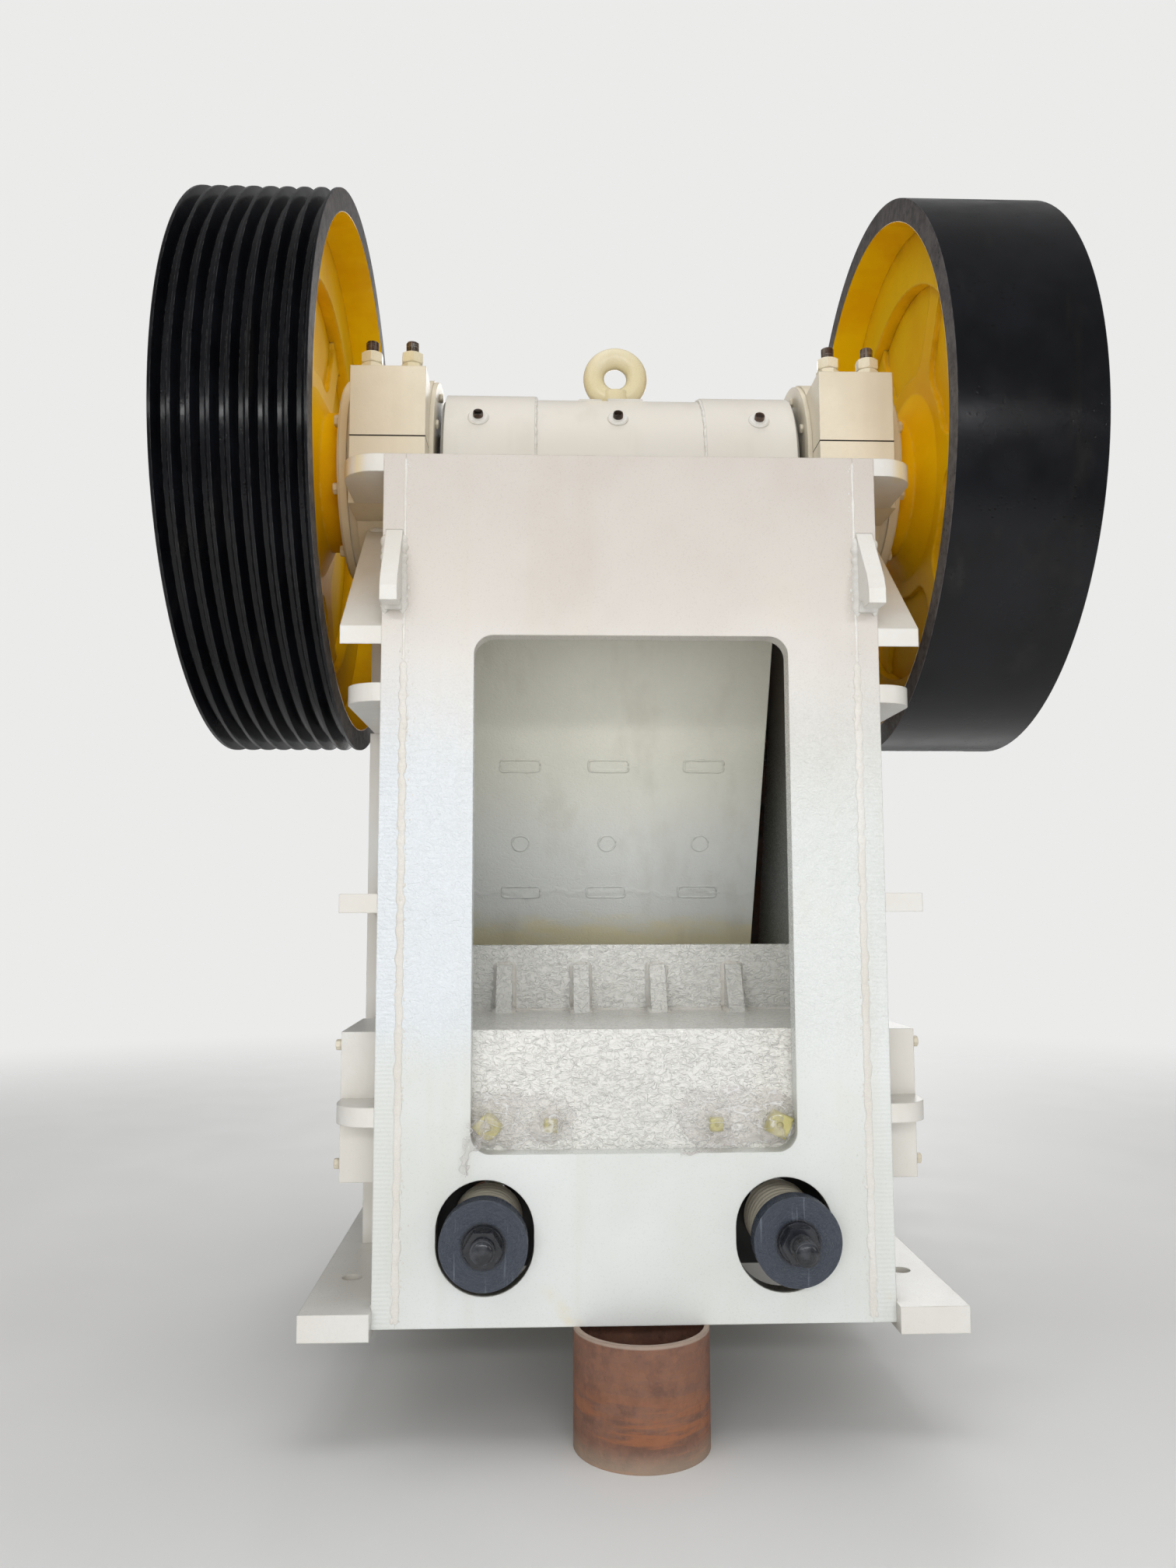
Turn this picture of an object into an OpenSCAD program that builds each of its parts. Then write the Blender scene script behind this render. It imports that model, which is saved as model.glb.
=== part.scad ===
// Single-toggle jaw crusher with a grooved pulley and a flywheel, on short pipe stands.
// Millimetres. X runs across the machine, Y from the rear wall to the front, Z up.
// Inside the modules Y = 0 is the rear wall's outer face and Z = 0 the wall's lower edge.

/* [Body] */
// Width over the outer faces of the side plates
body_w = 1236; // [1140:2:1400]
// Length from the rear wall's outer face to the front wall's outer face
body_l = 2000; // [1900:10:2200]
// Height of the four walls
body_h = 2109; // [2080:1:2140]
// Thickness of the side plates
side_t = 55; // [40:1:65]
// Thickness of the rear wall
rear_t = 55; // [40:1:60]
// Thickness of the front wall
front_t = 60; // [45:1:80]

/* [Rear wall openings] */
// Width of the big rear window
window_w = 780; // [600:5:820]
// Lower edge of the rear window
window_low = 394; // [380:1:440]
// Distance from the rear window's upper edge to the top of the wall
window_drop = 462; // [400:1:600]
// Corner radius of the rear window
window_r = 48; // [30:1:80]
// Width of each rod hole
rod_hole_w = 232; // [226:1:250]
// Height of each rod hole
rod_hole_h = 266; // [262:1:300]

/* [Ribs] */
// Thickness of the horizontal ribs
rib_t = 46; // [35:1:60]
// How far the horizontal ribs stand out
rib_out = 92; // [70:1:105]
// How far the lower horizontal ribs stand out
low_rib_out = 102; // [80:1:105]
// How far the short top ribs stand out
top_rib_out = 111; // [100:1:120]
// Depth of the upper horizontal rib's lower face below the walls' top edge
rib_high_drop = 628; // [600:1:700]
// Height of the middle horizontal rib's lower face
rib_mid_z = 964; // [900:1:1050]
// Height of the lower horizontal rib's lower face
rib_low_z = 459; // [430:1:500]
// Radius of the ribs' outer corners
rib_corner_r = 87; // [20:1:87]
// How far the upright ribs stand out
upright_out = 105; // [95:1:115]
// Distance from the rear wall to the first upright rib
upright_rear_y = 560; // [530:5:600]
// Distance from the first upright rib to the second
upright_gap = 356; // [300:1:356]
// Depth of the slanted braces' lower ends below the walls' top edge
brace_drop = 486; // [450:1:500]
// Distance between the outer upright ribs on the front wall
front_upright_gap = 742; // [600:2:800]

/* [Feet] */
// Width of each foot beyond the side plate
foot_out = 165; // [150:1:180]
// Thickness of the feet
foot_t = 62; // [50:1:75]
// Upper face of the feet above the wall's lower edge
foot_top_z = 45; // [35:1:60]
// How far the feet run past the walls
foot_past = 33; // [10:1:40]
// Radius of the foot bolt holes
foot_hole_r = 26; // [18:1:30]
// Distance from the outer face of a wall to the foot bolt holes
foot_hole_y = 250; // [150:5:300]
// Distance from the side plate to the foot bolt holes
foot_hole_x = 83; // [70:1:95]

/* [Bearings and shaft] */
// Distance from the shaft axis to the feed opening's rear edge
mouth_to_shaft = 464; // [455:1:480]
// Height of the shaft axis above the walls' top edge
shaft_rise = 144; // [135:1:155]
// Throw of the eccentric
throw_e = 15; // [10:1:18]
// Radius of the shaft in its bearings
journal_r = 140; // [120:1:150]
// Radius of the shaft's eccentric part
eccentric_r = 170; // [160:1:180]
// Radius of the shaft's ends, which carry the wheels
shaft_end_r = 125; // [100:1:130]
// Running gap round the shaft
run_gap = 0.08; // [0.05:0.01:0.1]
// Length of the bearing housings along the body
housing_l = 766; // [740:2:780]
// Width of the bearing housings across the body
housing_w = 206; // [190:1:210]
// Height of a housing's lower half
housing_low_h = 365; // [350:1:375]
// Height of the bearing cap's flat shoulder above the shaft axis
shoulder_h = 198; // [180:1:220]
// Radius of the bearing cap's arch
arch_r = 300; // [290:1:320]
// Radius of the round bearing covers
cover_r = 295; // [275:1:297]
// Thickness of the outer bearing covers
outer_cover_t = 50; // [40:1:54]
// Thickness of the inner bearing covers
inner_cover_t = 13; // [8:1:16]
// Distance between the two studs on one shoulder
stud_gap = 112; // [90:1:120]
// Distance from the housing's end to its studs
stud_inset = 87; // [60:1:95]
// Radius of the cap studs
stud_r = 18; // [14:1:24]
// Height of the cap studs above the shoulder
stud_h = 106; // [70:1:115]

/* [Wheels] */
// Radius of both wheels
wheel_r = 806; // [760:1:830]
// Width of both wheels
wheel_w = 375; // [350:1:390]
// Gap between a bearing housing and the near face of its wheel
wheel_clear = 29; // [22:1:60]
// Thickness of the rims
rim_t = 68; // [50:1:90]
// Distance from a wheel's inner face to its web
web_depth = 100; // [80:1:130]
// Thickness of the wheel webs
web_t = 44; // [36:1:60]
// Inner radius of the webs, where the spokes begin
web_r = 585; // [560:1:600]
// Thickness of the spokes
spoke_t = 40; // [34:1:50]
// Thickness of the solid plate between the spokes, at their outer face
pan_t = 24; // [22:1:30]
// Width of the spokes
spoke_w = 86; // [70:1:110]
// Radius of the disc round the hub that the spokes spring from
disc_r = 330; // [300:1:350]
// Radius of the wheel hubs
hub_r = 205; // [180:1:220]
// Number of spokes
spokes = 6; // [5:1:7]
// Turn of the spokes about the shaft, in degrees
spoke_turn = 33; // [0:1:59]
// Number of belt grooves
grooves = 8; // [4:1:8]
// Depth of the belt grooves
groove_d = 33; // [20:1:36]

/* [Swing jaw] */
// Gap between the ends of the swing jaw's head and the inner bearing covers
barrel_gap = 25; // [20:1:40]
// Length of the head's slimmer middle section
barrel_mid_l = 489; // [400:1:600]
// Radius of the head's end sections
barrel_r = 273; // [265:1:278]
// How much the swing jaw's box is narrower than its jaw plate on each side
jaw_inset = 70; // [50:1:120]
// Gap between the jaw plates and the cheek plates
jaw_side_gap = 11; // [9:1:30]
// Thickness of both jaw plates, teeth included
jaw_plate_t = 100; // [85:1:120]
// Number of teeth on each jaw plate
jaw_teeth = 10; // [7:1:12]
// Height of the teeth
tooth_h = 38; // [20:1:45]
// Width of the feed opening between the jaw plates
feed_gap = 750; // [720:5:760]
// Width of the discharge opening between the jaw plates
discharge_gap = 120; // [90:5:140]
// Height of the jaw plates' lower ends
jaw_low_z = 350; // [330:5:370]
// Depth of the jaw plates' upper ends below the walls' top edge
jaw_drop = 59; // [50:1:100]
// Slope of the swing jaw's back from the vertical, in degrees
back_slope = 27.3; // [26:0.1:28]
// Distance from the shaft axis to the swing jaw's back
back_off = 337; // [325:1:345]
// Thickness of the cheek plates
cheek_t = 32; // [20:1:32]

/* [Toggle] */
// Upper face of the toggle beam
beam_top_z = 680; // [640:1:700]
// Lower face of the toggle beam
beam_low_z = 340; // [335:1:350]
// Length of the toggle beam along the body
beam_l = 545; // [500:5:560]
// Height of the beam's front plate
beam_plate_top_z = 867; // [800:1:900]
// Thickness of the beam's front plate
beam_plate_t = 40; // [25:1:50]
// Distance between the gussets on the beam
gusset_gap = 220; // [180:2:240]
// Width of the toggle plate
toggle_w = 840; // [700:2:860]
// Thickness of the toggle plate
toggle_t = 60; // [45:1:64]
// Height of the toggle plate's rear end
toggle_rear_z = 620; // [600:1:640]
// Height of the toggle plate's front end
toggle_front_z = 460; // [440:1:480]
// Clearance of the open toggle joint at the swing jaw, past the throw
toggle_gap = 8; // [6:1:12]
// Height of the side boxes
box_h = 367; // [300:1:380]
// Length of the side boxes
box_l = 361; // [300:1:370]
// How far the side boxes stand out
box_out = 104; // [90:1:112]
// Distance from the rear wall to the side boxes
box_rear_y = 145; // [130:1:180]
// Distance between the outer adjusting bolts
outer_bolt_gap = 700; // [640:2:720]
// Distance between the inner adjusting bolts
inner_bolt_gap = 400; // [340:2:440]
// Height of the adjusting bolts above the rear window's lower edge
bolt_rise = 61; // [50:1:90]
// Width of the outer bolts' square heads
outer_head = 54; // [46:1:60]
// Width of the inner bolts' square heads
inner_head = 32; // [26:1:40]

/* [Tension rods] */
// Distance between the two rods
rod_gap = 710; // [680:2:740]
// How far the right-hand rod sits off the middle of its hole
right_rod_off = 18; // [0:1:20]
// Height of the rods
rod_z = 203; // [195:1:210]
// Radius of the rods
rod_r = 28; // [20:1:34]
// Radius of the springs
spring_r = 86; // [75:1:90]
// Radius of the spring wire
spring_wire_r = 12; // [9:1:14]
// Radius of the spring caps
spring_cap_r = 103; // [95:1:108]
// Thickness of the spring caps
cap_t = 48; // [30:1:60]
// Gap between the spring caps and the rear wall
cap_gap = 22; // [20:1:40]
// How far the left rod stands past its cap
left_rod_past = 52; // [46:1:120]
// How far the right rod stands past its cap
right_rod_past = 100; // [46:1:120]
// Distance from the rear wall to the springs' cross plate
spring_seat_y = 230; // [220:1:250]
// Thickness of the springs' cross plate
spring_seat_t = 40; // [25:1:50]
// How far the cross plate reaches below the rods
spring_seat_low = 130; // [110:1:150]

/* [Lifting points] */
// Radius of the lifting eye's ring, to the middle of its bar
eye_r = 66; // [60:1:80]
// Radius of the lifting eye's bar
eye_bar_r = 32; // [24:1:36]
// Height of the eye's middle above the head's crown
eye_rise = 92; // [84:1:96]
// Thickness of the hook plates
hook_t = 42; // [30:1:50]
// How far the hook plates stand out
hook_out = 107; // [90:1:120]
// Height of the hook plates
hook_h = 207; // [180:1:230]
// Depth of the hook plates' top below the walls' top edge
hook_drop = 195; // [180:1:220]

/* [Stands] */
// Height of the pipe stands
stand_h = 273; // [200:1:320]
// Outer radius of the pipe stands
stand_r = 161; // [140:1:170]
// Wall of the pipe stands
stand_wall = 12; // [8:1:16]
// Distance of the rear stand from the machine's middle
stand_rear_x = 14; // [-60:1:60]
// Distance from the rear wall to the rear stand's middle
stand_rear_y = 25; // [10:1:60]
// Distance between the front stands
stand_gap = 860; // [700:5:900]
// Distance from the front wall to the front stands' middles
stand_front_y = 130; // [120:1:160]

/* [Hidden] */
$fn = 64;

// Paint and metal
cream = [0.87, 0.85, 0.78];
cast_yellow = [0.82, 0.60, 0.06];
wheel_black = [0.09, 0.09, 0.10];
steel_dark = [0.35, 0.35, 0.36];
zinc = [0.75, 0.72, 0.50];
steel_light = [0.66, 0.66, 0.65];
rust = [0.38, 0.26, 0.20];

// Body
side_x = body_w / 2;
inner_x = side_x - side_t;
top_rib_z = body_h - rib_t;
rib_high_z = body_h - rib_high_drop;
brace_low_z = body_h - brace_drop;
window_h = body_h - window_drop - window_low;
upright_front_y = upright_rear_y + upright_gap;
brace_past = 10;
// How far cutting shapes run past what they cut
eps = 1;
// Gap at faces that are bolted or seated together
seat_gap = 0.3;

// Jaw plates: the swing jaw's plate leans back by the nip angle
jaw_high_z = body_h - jaw_drop;
fixed_face_y = body_l - front_t - jaw_plate_t;
nip = atan((feed_gap - discharge_gap) / (jaw_high_z - jaw_low_z));
jaw_plate_l = (jaw_high_z - jaw_low_z) / cos(nip);
jaw_plate_w = 2 * (inner_x - cheek_t - jaw_side_gap);
jaw_w = jaw_plate_w - 2 * jaw_inset;

// Shaft axis
shaft_y = fixed_face_y - feed_gap - mouth_to_shaft;
shaft_z = body_h + shaft_rise;

// Bearing housings
housing_lap = 22;
housing_x = inner_x - housing_lap;
barrel_l = 2 * (housing_x - inner_cover_t - barrel_gap);
housing_rear_y = shaft_y - housing_l / 2;
housing_low_z = shaft_z - housing_low_h;
ecc_z = shaft_z - throw_e;
cover_bore_gap = 6;

// Cheek plates
cheek_drop = 6;
cheek_rise = 60;
cheek_gap = 3;
cheek_past = 72;

// Wheels
wheel_x = housing_x + housing_w + wheel_clear;
hub_clear = 9;
hub_x = housing_x + housing_w + outer_cover_t + hub_clear;
hub_inset = 20;
hub_end_x = wheel_x + wheel_w - hub_inset;
web_x = wheel_x + web_depth;
// The spokes lie deeper than the web's face, and half their thickness bears on its edge
spoke_x = web_x + web_t - spoke_t / 2;

// A point in the swing jaw plate's own frame: y from its teeth, z up along it
function jp(y, z) = [
    fixed_face_y - discharge_gap + y * cos(nip) - z * sin(nip),
    jaw_low_z + y * sin(nip) + z * cos(nip)
];
// A point on the swing jaw's back, at distance t down from the shaft's foot on it
function back(t) = [
    shaft_y - back_off * cos(back_slope) + t * sin(back_slope),
    shaft_z - back_off * sin(back_slope) - t * cos(back_slope)
];
// The same point, found from its height
function back_t(z) = (shaft_z - back_off * sin(back_slope) - z) / cos(back_slope);
// The ledge under each jaw plate, and the plate behind the swing jaw's plate
lip_h = 80;
lip_out = 30;
slab_t = 120;
slab_past = 50;
barrel_mid_r = barrel_r - 10;
jaw_bottom = jp(-jaw_plate_t, -lip_h);
seat_gap_y = -jaw_plate_t - seat_gap;

// Toggle
beam_front_y = rear_t + beam_l;
block_t = 80;
block_past = 45;
groove_out = 12;
toggle_rear_y = beam_front_y + beam_plate_t + block_t + groove_out;
pocket_depth = 22;
toggle_front_y = back(back_t(toggle_front_z))[0] - pocket_depth;
// How far the side boxes' tops lie under the beam's upper face
box_drop = 12;
box_low_z = beam_top_z - box_drop - box_h;
bolt_z = window_low + bolt_rise;

// Tension rods: the caps stand outside the rear wall, and their springs end clear of the cross plate
// The middle of a rod; side is 1 for the right-hand one
function rod_x(side) = side * rod_gap / 2 + (side + 1) / 2 * right_rod_off;
rod_lug_w = 90;
rod_lug_low = 55;
rod_lug_rise = 40;
spring_clear = 12;
spring_end_y = spring_seat_y - throw_e - spring_clear;
rod_front_y = back(back_t(jaw_bottom[1] + rod_lug_rise))[0];

// Middle of the whole machine along Y
y_back = shaft_y - wheel_r;
y_front = body_l + rib_out;
y_mid = (y_back + y_front) / 2;

// Puts a piece from the body's frame into the frame with its origin on the floor
module placed() {
    translate([0, -y_mid, stand_h]) children();
}

// The same piece on the right side (1) or mirrored to the left side (-1)
module on_side(side) {
    if (side < 0) mirror([1, 0, 0]) children();
    else children();
}

// Turns a flat outline drawn as (Y, Z) into a slab from x0 to x1
module slab_x(x0, x1) {
    translate([x0, 0, 0]) rotate([90, 0, 90]) linear_extrude(x1 - x0) children();
}

// A round bar along X
module bar_x(x0, x1, y, z, r) {
    translate([x0, y, z]) rotate([0, 90, 0]) cylinder(r = r, h = x1 - x0);
}

// A round bar along Y
module bar_y(x, z, y0, y1, r) {
    translate([x, y1, z]) rotate([90, 0, 0]) cylinder(r = r, h = y1 - y0);
}

// A flat bar standing out from the side plate, with a round outer corner at each free end
module flat_rib(out, y0, y1, z, round_rear, round_front) {
    r = min(rib_corner_r, out - 5);
    difference() {
        translate([side_x, y0, z]) cube([out, y1 - y0, rib_t]);
        if (round_rear) corner_cut(side_x + out, y0, z, r, 1);
        if (round_front) corner_cut(side_x + out, y1, z, r, -1);
    }
}

// The waste at a rib's outer corner; dir is 1 at its rear end and -1 at its front end
module corner_cut(x, y, z, r, dir) {
    difference() {
        translate([x - r, min(y, y + dir * r) - (dir > 0 ? eps : 0), z - eps])
            cube([r + eps, r + eps, rib_t + 2 * eps]);
        translate([x - r, y + dir * r, z - 2 * eps]) cylinder(r = r, h = rib_t + 4 * eps);
    }
}

module side_plate(side) {
    color(cream) on_side(side) difference() {
        translate([inner_x, 0, 0]) cube([side_t, body_l, body_h]);
        translate([inner_x - eps, housing_rear_y, housing_low_z])
            cube([side_t + 2 * eps, housing_l, body_h]);
    }
}

// A hole with round ends, or round corners, through a wall
module round_cut(x, z_low, w, h, r, y0, y1) {
    for (dx = [r, w - r]) for (dz = [r, h - r])
        bar_y(x - w / 2 + dx, z_low + dz, y0, y1, r);
    translate([x - w / 2 + r, y0, z_low]) cube([w - 2 * r, y1 - y0, h]);
    translate([x - w / 2, y0, z_low + r]) cube([w, y1 - y0, h - 2 * r]);
}

// A tall slot with half-round ends through a wall
module slot_cut(x, z, w, h, y0, y1) {
    bar_y(x, z - (h - w) / 2, y0, y1, w / 2);
    bar_y(x, z + (h - w) / 2, y0, y1, w / 2);
    translate([x - w / 2, y0, z - (h - w) / 2]) cube([w, y1 - y0, h - w]);
}

module rear_wall() {
    color(cream) difference() {
        translate([-inner_x, 0, 0]) cube([2 * inner_x, rear_t, body_h]);
        round_cut(0, window_low, window_w, window_h, window_r, -eps, rear_t + eps);
        for (side = [-1, 1])
            slot_cut(side * rod_gap / 2, rod_z, rod_hole_w, rod_hole_h, -eps, rear_t + eps);
    }
}

// The front wall has a ledge inside that the fixed jaw plate stands on
module front_wall() {
    color(cream) union() {
        translate([-inner_x, body_l - front_t, 0]) cube([2 * inner_x, front_t, body_h]);
        translate([-inner_x, body_l - front_t - jaw_plate_t + lip_out, jaw_low_z - lip_h])
            cube([2 * inner_x, jaw_plate_t - lip_out + eps, lip_h]);
    }
}

module front_ribs() {
    reach = side_x + rib_out;
    color(cream) for (z = [rib_low_z, rib_mid_z, rib_high_z, top_rib_z])
        translate([-reach, body_l, z]) cube([2 * reach, rib_out, rib_t]);
}

// Upright ribs on the front wall, cut where the horizontal ribs cross them
module front_uprights() {
    color(cream) difference() {
        for (x = [-1, 0, 1])
            translate([x * front_upright_gap / 2 - rib_t / 2, body_l, 0])
                cube([rib_t, rib_out * 0.8, top_rib_z]);
        for (z = [rib_low_z, rib_mid_z, rib_high_z])
            translate([-side_x, body_l - eps, z]) cube([body_w, rib_out, rib_t]);
    }
}

module side_ribs(side) {
    color(cream) on_side(side) {
        flat_rib(top_rib_out, 0, housing_rear_y, top_rib_z, true, false);
        flat_rib(rib_out, housing_rear_y + housing_l, body_l, top_rib_z, false, false);
        flat_rib(rib_out, 0, body_l, rib_high_z, true, false);
        flat_rib(rib_out, 0, body_l, rib_mid_z, false, false);
        flat_rib(low_rib_out, 0, box_rear_y, rib_low_z, true, false);
        flat_rib(low_rib_out, box_rear_y + box_l, body_l, rib_low_z, false, false);
    }
}

// An upright rib from the foot to the bearing seat, cut where the horizontal ribs cross it
module upright_rib(y) {
    difference() {
        translate([side_x, y, foot_top_z]) cube([upright_out, rib_t, top_rib_z - foot_top_z]);
        for (z = [rib_low_z, rib_mid_z, rib_high_z])
            translate([side_x - eps, y - eps, z]) cube([upright_out + 2 * eps, rib_t + 2 * eps, rib_t]);
        seat_round();
    }
}

// The round of the bearing seat, with room for the seam of a piece that ends on it
module seat_round() {
    bar_x(side_x - eps, housing_x + housing_w + eps, shaft_y, shaft_z, arch_r + seat_gap);
}

// The flange of the bearing seat above the walls' top rib, with room for the seam of a piece that ends on it
module seat_flange() {
    translate([side_x - eps, housing_rear_y - seat_gap, top_rib_z - seat_gap])
        cube([housing_w, housing_l + 2 * seat_gap, shaft_z - top_rib_z]);
}

// A slanted brace on the side plate, from y_low up to y_high; past is how far its upper end runs on
module slanted_brace(y_low, y_high, past) {
    dir_y = sign(y_high - y_low);
    y_end = y_high + dir_y * past;
    rise = (housing_low_z - brace_low_z - rib_t) / abs(y_high - y_low - dir_y * rib_t);
    difference() {
        slab_x(side_x, side_x + rib_out + brace_past) polygon([
            [y_low, brace_low_z], [y_end, housing_low_z - rib_t * 1.5 + rise * past],
            [y_end, housing_low_z + rise * past], [y_end - dir_y * rib_t, housing_low_z + rise * past],
            [y_low, brace_low_z + rib_t]
        ]);
        seat_round();
        seat_flange();
    }
}

// The rear brace runs on to the seat's round, and the front one ends at the upright rib
module seat_braces(side) {
    housing_front_y = housing_rear_y + housing_l;
    color(cream) on_side(side) {
        upright_rib(upright_rear_y);
        upright_rib(upright_front_y);
        slanted_brace(0, housing_rear_y + rib_t, housing_l / 4);
        slanted_brace(housing_front_y + housing_rear_y, housing_front_y - rib_t, 0);
    }
}

module foot(side) {
    color(cream) on_side(side) difference() {
        translate([side_x, -foot_past, foot_top_z - foot_t])
            cube([foot_out, body_l + 2 * foot_past, foot_t]);
        for (y = [foot_hole_y, body_l - foot_hole_y])
            translate([side_x + foot_hole_x, y, foot_top_z - foot_t - eps])
                cylinder(r = foot_hole_r, h = foot_t + 2 * eps);
    }
}

// A housing's lower half fills the side plate's notch, and is round below its flange outside it
module bearing_seat(side) {
    color(cream) on_side(side) difference() {
        union() {
            translate([housing_x, housing_rear_y, housing_low_z])
                cube([side_x - housing_x, housing_l, housing_low_h]);
            translate([housing_x, housing_rear_y, top_rib_z])
                cube([housing_w, housing_l, shaft_z - top_rib_z]);
            bar_x(side_x - eps, housing_x + housing_w, shaft_y, shaft_z, arch_r);
        }
        translate([housing_x - eps, housing_rear_y - eps, shaft_z])
            cube([housing_w + 2 * eps, housing_l + 2 * eps, arch_r + eps]);
        bar_x(housing_x - eps, housing_x + housing_w + eps, shaft_y, shaft_z, journal_r + run_gap);
    }
}

module bearing_cap(side) {
    color(cream) on_side(side) difference() {
        union() {
            translate([housing_x, housing_rear_y, shaft_z]) cube([housing_w, housing_l, shoulder_h]);
            bar_x(housing_x, housing_x + housing_w, shaft_y, shaft_z, arch_r);
        }
        translate([housing_x - eps, housing_rear_y - eps, shaft_z - arch_r - eps])
            cube([housing_w + 2 * eps, housing_l + 2 * eps, arch_r + eps]);
        bar_x(housing_x - eps, housing_x + housing_w + eps, shaft_y, shaft_z, journal_r + run_gap);
    }
}

// A stud end with a washer and two hexagon nuts, turned a little from each other
module stud_end() {
    nut_r = stud_r * 1.75;
    nut_h = stud_r * 1.7;
    cylinder(r = stud_r * 1.9, h = stud_r * 0.3);
    cylinder(r = nut_r, h = nut_h, $fn = 6);
    translate([0, 0, nut_h]) rotate([0, 0, 18]) cylinder(r = nut_r, h = nut_h, $fn = 6);
    cylinder(r = stud_r, h = stud_h);
}

module cap_studs() {
    color(cream) for (side = [-1, 1]) on_side(side)
        for (dx = [-1, 1]) for (y = [stud_inset, housing_l - stud_inset])
            translate([housing_x + housing_w / 2 + dx * stud_gap / 2, housing_rear_y + y, 0])
                translate([0, 0, shaft_z + shoulder_h]) stud_end();
}

// Round covers with a stepped edge and a bore clear of the shaft
module outer_covers() {
    x0 = housing_x + housing_w;
    step = 8;
    color(cream) for (side = [-1, 1]) on_side(side) difference() {
        union() {
            bar_x(x0, x0 + outer_cover_t, shaft_y, shaft_z, cover_r - step);
            bar_x(x0 + outer_cover_t * 0.45, x0 + outer_cover_t * 0.88, shaft_y, shaft_z, cover_r);
        }
        bar_x(x0 - eps, x0 + outer_cover_t + eps, shaft_y, shaft_z, journal_r + cover_bore_gap);
    }
}

module inner_covers() {
    color(cream) for (side = [-1, 1]) on_side(side) difference() {
        bar_x(housing_x - inner_cover_t, housing_x, shaft_y, shaft_z, cover_r);
        bar_x(housing_x - inner_cover_t - eps, housing_x + eps, shaft_y, shaft_z,
            journal_r + cover_bore_gap);
    }
}

// Wear plates that line the side plates between the two jaw plates
module cheek_plates() {
    top = body_h - cheek_drop;
    low = jaw_low_z + cheek_rise;
    front = fixed_face_y - cheek_gap;
    color(steel_light) for (side = [-1, 1]) on_side(side) slab_x(inner_x - cheek_t, inner_x) polygon([
        [fixed_face_y - discharge_gap - cheek_past * 1.5, low], [front, low],
        [front, top], [fixed_face_y - feed_gap - cheek_past, top]
    ]);
}

// Outline of a toothed jaw plate: teeth at y = 0, back at y = -jaw_plate_t
module jaw_plate_outline() {
    pitch = jaw_plate_w / jaw_teeth;
    left = -jaw_plate_w / 2;
    teeth = [for (i = [0 : jaw_teeth - 1]) for (k = [0 : 3])
        [left + (i + [0.04, 0.36, 0.64, 0.96][k]) * pitch, [-tooth_h, 0, 0, -tooth_h][k]]];
    polygon(concat([[left, -jaw_plate_t], [left, -tooth_h]], teeth,
        [[-left, -tooth_h], [-left, -jaw_plate_t]]));
}

module fixed_jaw_plate() {
    color(steel_light) translate([0, fixed_face_y, jaw_low_z])
        linear_extrude(jaw_high_z - jaw_low_z) mirror([0, 1]) jaw_plate_outline();
}

module movable_jaw_plate() {
    color(steel_light) translate([0, jp(0, 0)[0], jaw_low_z]) rotate([nip, 0, 0])
        linear_extrude(jaw_plate_l) jaw_plate_outline();
}

module toggle_beam() {
    gusset_l = 100;
    gusset_top_l = 25;
    gusset_h = (beam_plate_top_z - beam_top_z) * 0.7;
    color(cream) union() {
        translate([-inner_x, rear_t, beam_low_z]) cube([2 * inner_x, beam_l, beam_top_z - beam_low_z]);
        translate([-inner_x, beam_front_y, beam_low_z])
            cube([2 * inner_x, beam_plate_t, beam_plate_top_z - beam_low_z]);
        for (i = [-1.5, -0.5, 0.5, 1.5])
            slab_x(i * gusset_gap - rib_t / 2, i * gusset_gap + rib_t / 2) polygon([
                [beam_front_y - gusset_l, beam_top_z - eps], [beam_front_y + eps, beam_top_z - eps],
                [beam_front_y + eps, beam_top_z + gusset_h],
                [beam_front_y - gusset_top_l, beam_top_z + gusset_h]
            ]);
    }
}

// The seat that holds the toggle plate's rear end in a round groove
module toggle_block() {
    half_h = toggle_t / 2 + block_past;
    half_w = toggle_w / 2 + groove_out;
    color(cream) difference() {
        translate([-half_w, beam_front_y + beam_plate_t, toggle_rear_z - half_h])
            cube([2 * half_w, block_t, 2 * half_h]);
        bar_x(-toggle_w, toggle_w, toggle_rear_y, toggle_rear_z, toggle_t / 2 + seat_gap);
    }
}

module toggle_plate() {
    r = toggle_t / 2;
    run = [toggle_front_y - toggle_rear_y, toggle_front_z - toggle_rear_z];
    long = norm(run);
    color(steel_dark) translate([0, toggle_rear_y, toggle_rear_z]) rotate([atan2(run[1], run[0]), 0, 0])
        union() {
            bar_x(-toggle_w / 2, toggle_w / 2, 0, 0, r);
            bar_x(-toggle_w / 2, toggle_w / 2, long, 0, r);
            translate([-toggle_w / 2, 0, -r]) cube([toggle_w, long, toggle_t]);
        }
}

// The closed boxes over the toggle beam's ends
module side_boxes() {
    color(cream) for (side = [-1, 1]) on_side(side)
        translate([side_x, box_rear_y, box_low_z]) cube([box_out, box_l, box_h]);
}

// Square-headed bolts that set the toggle seat
module adjusting_bolts() {
    color(zinc) for (side = [-1, 1]) {
        square_bolt(side * outer_bolt_gap / 2, outer_head, 45);
        square_bolt(side * inner_bolt_gap / 2, inner_head, 0);
    }
}

module square_bolt(x, head, turn) {
    shank_l = 12;
    translate([x, rear_t, bolt_z]) rotate([90, 0, 0]) {
        cylinder(r = head * 0.36, h = shank_l + head / 2);
        rotate([0, 0, turn]) translate([-head / 2, -head / 2, shank_l]) cube([head, head, head * 0.7]);
    }
}

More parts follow.
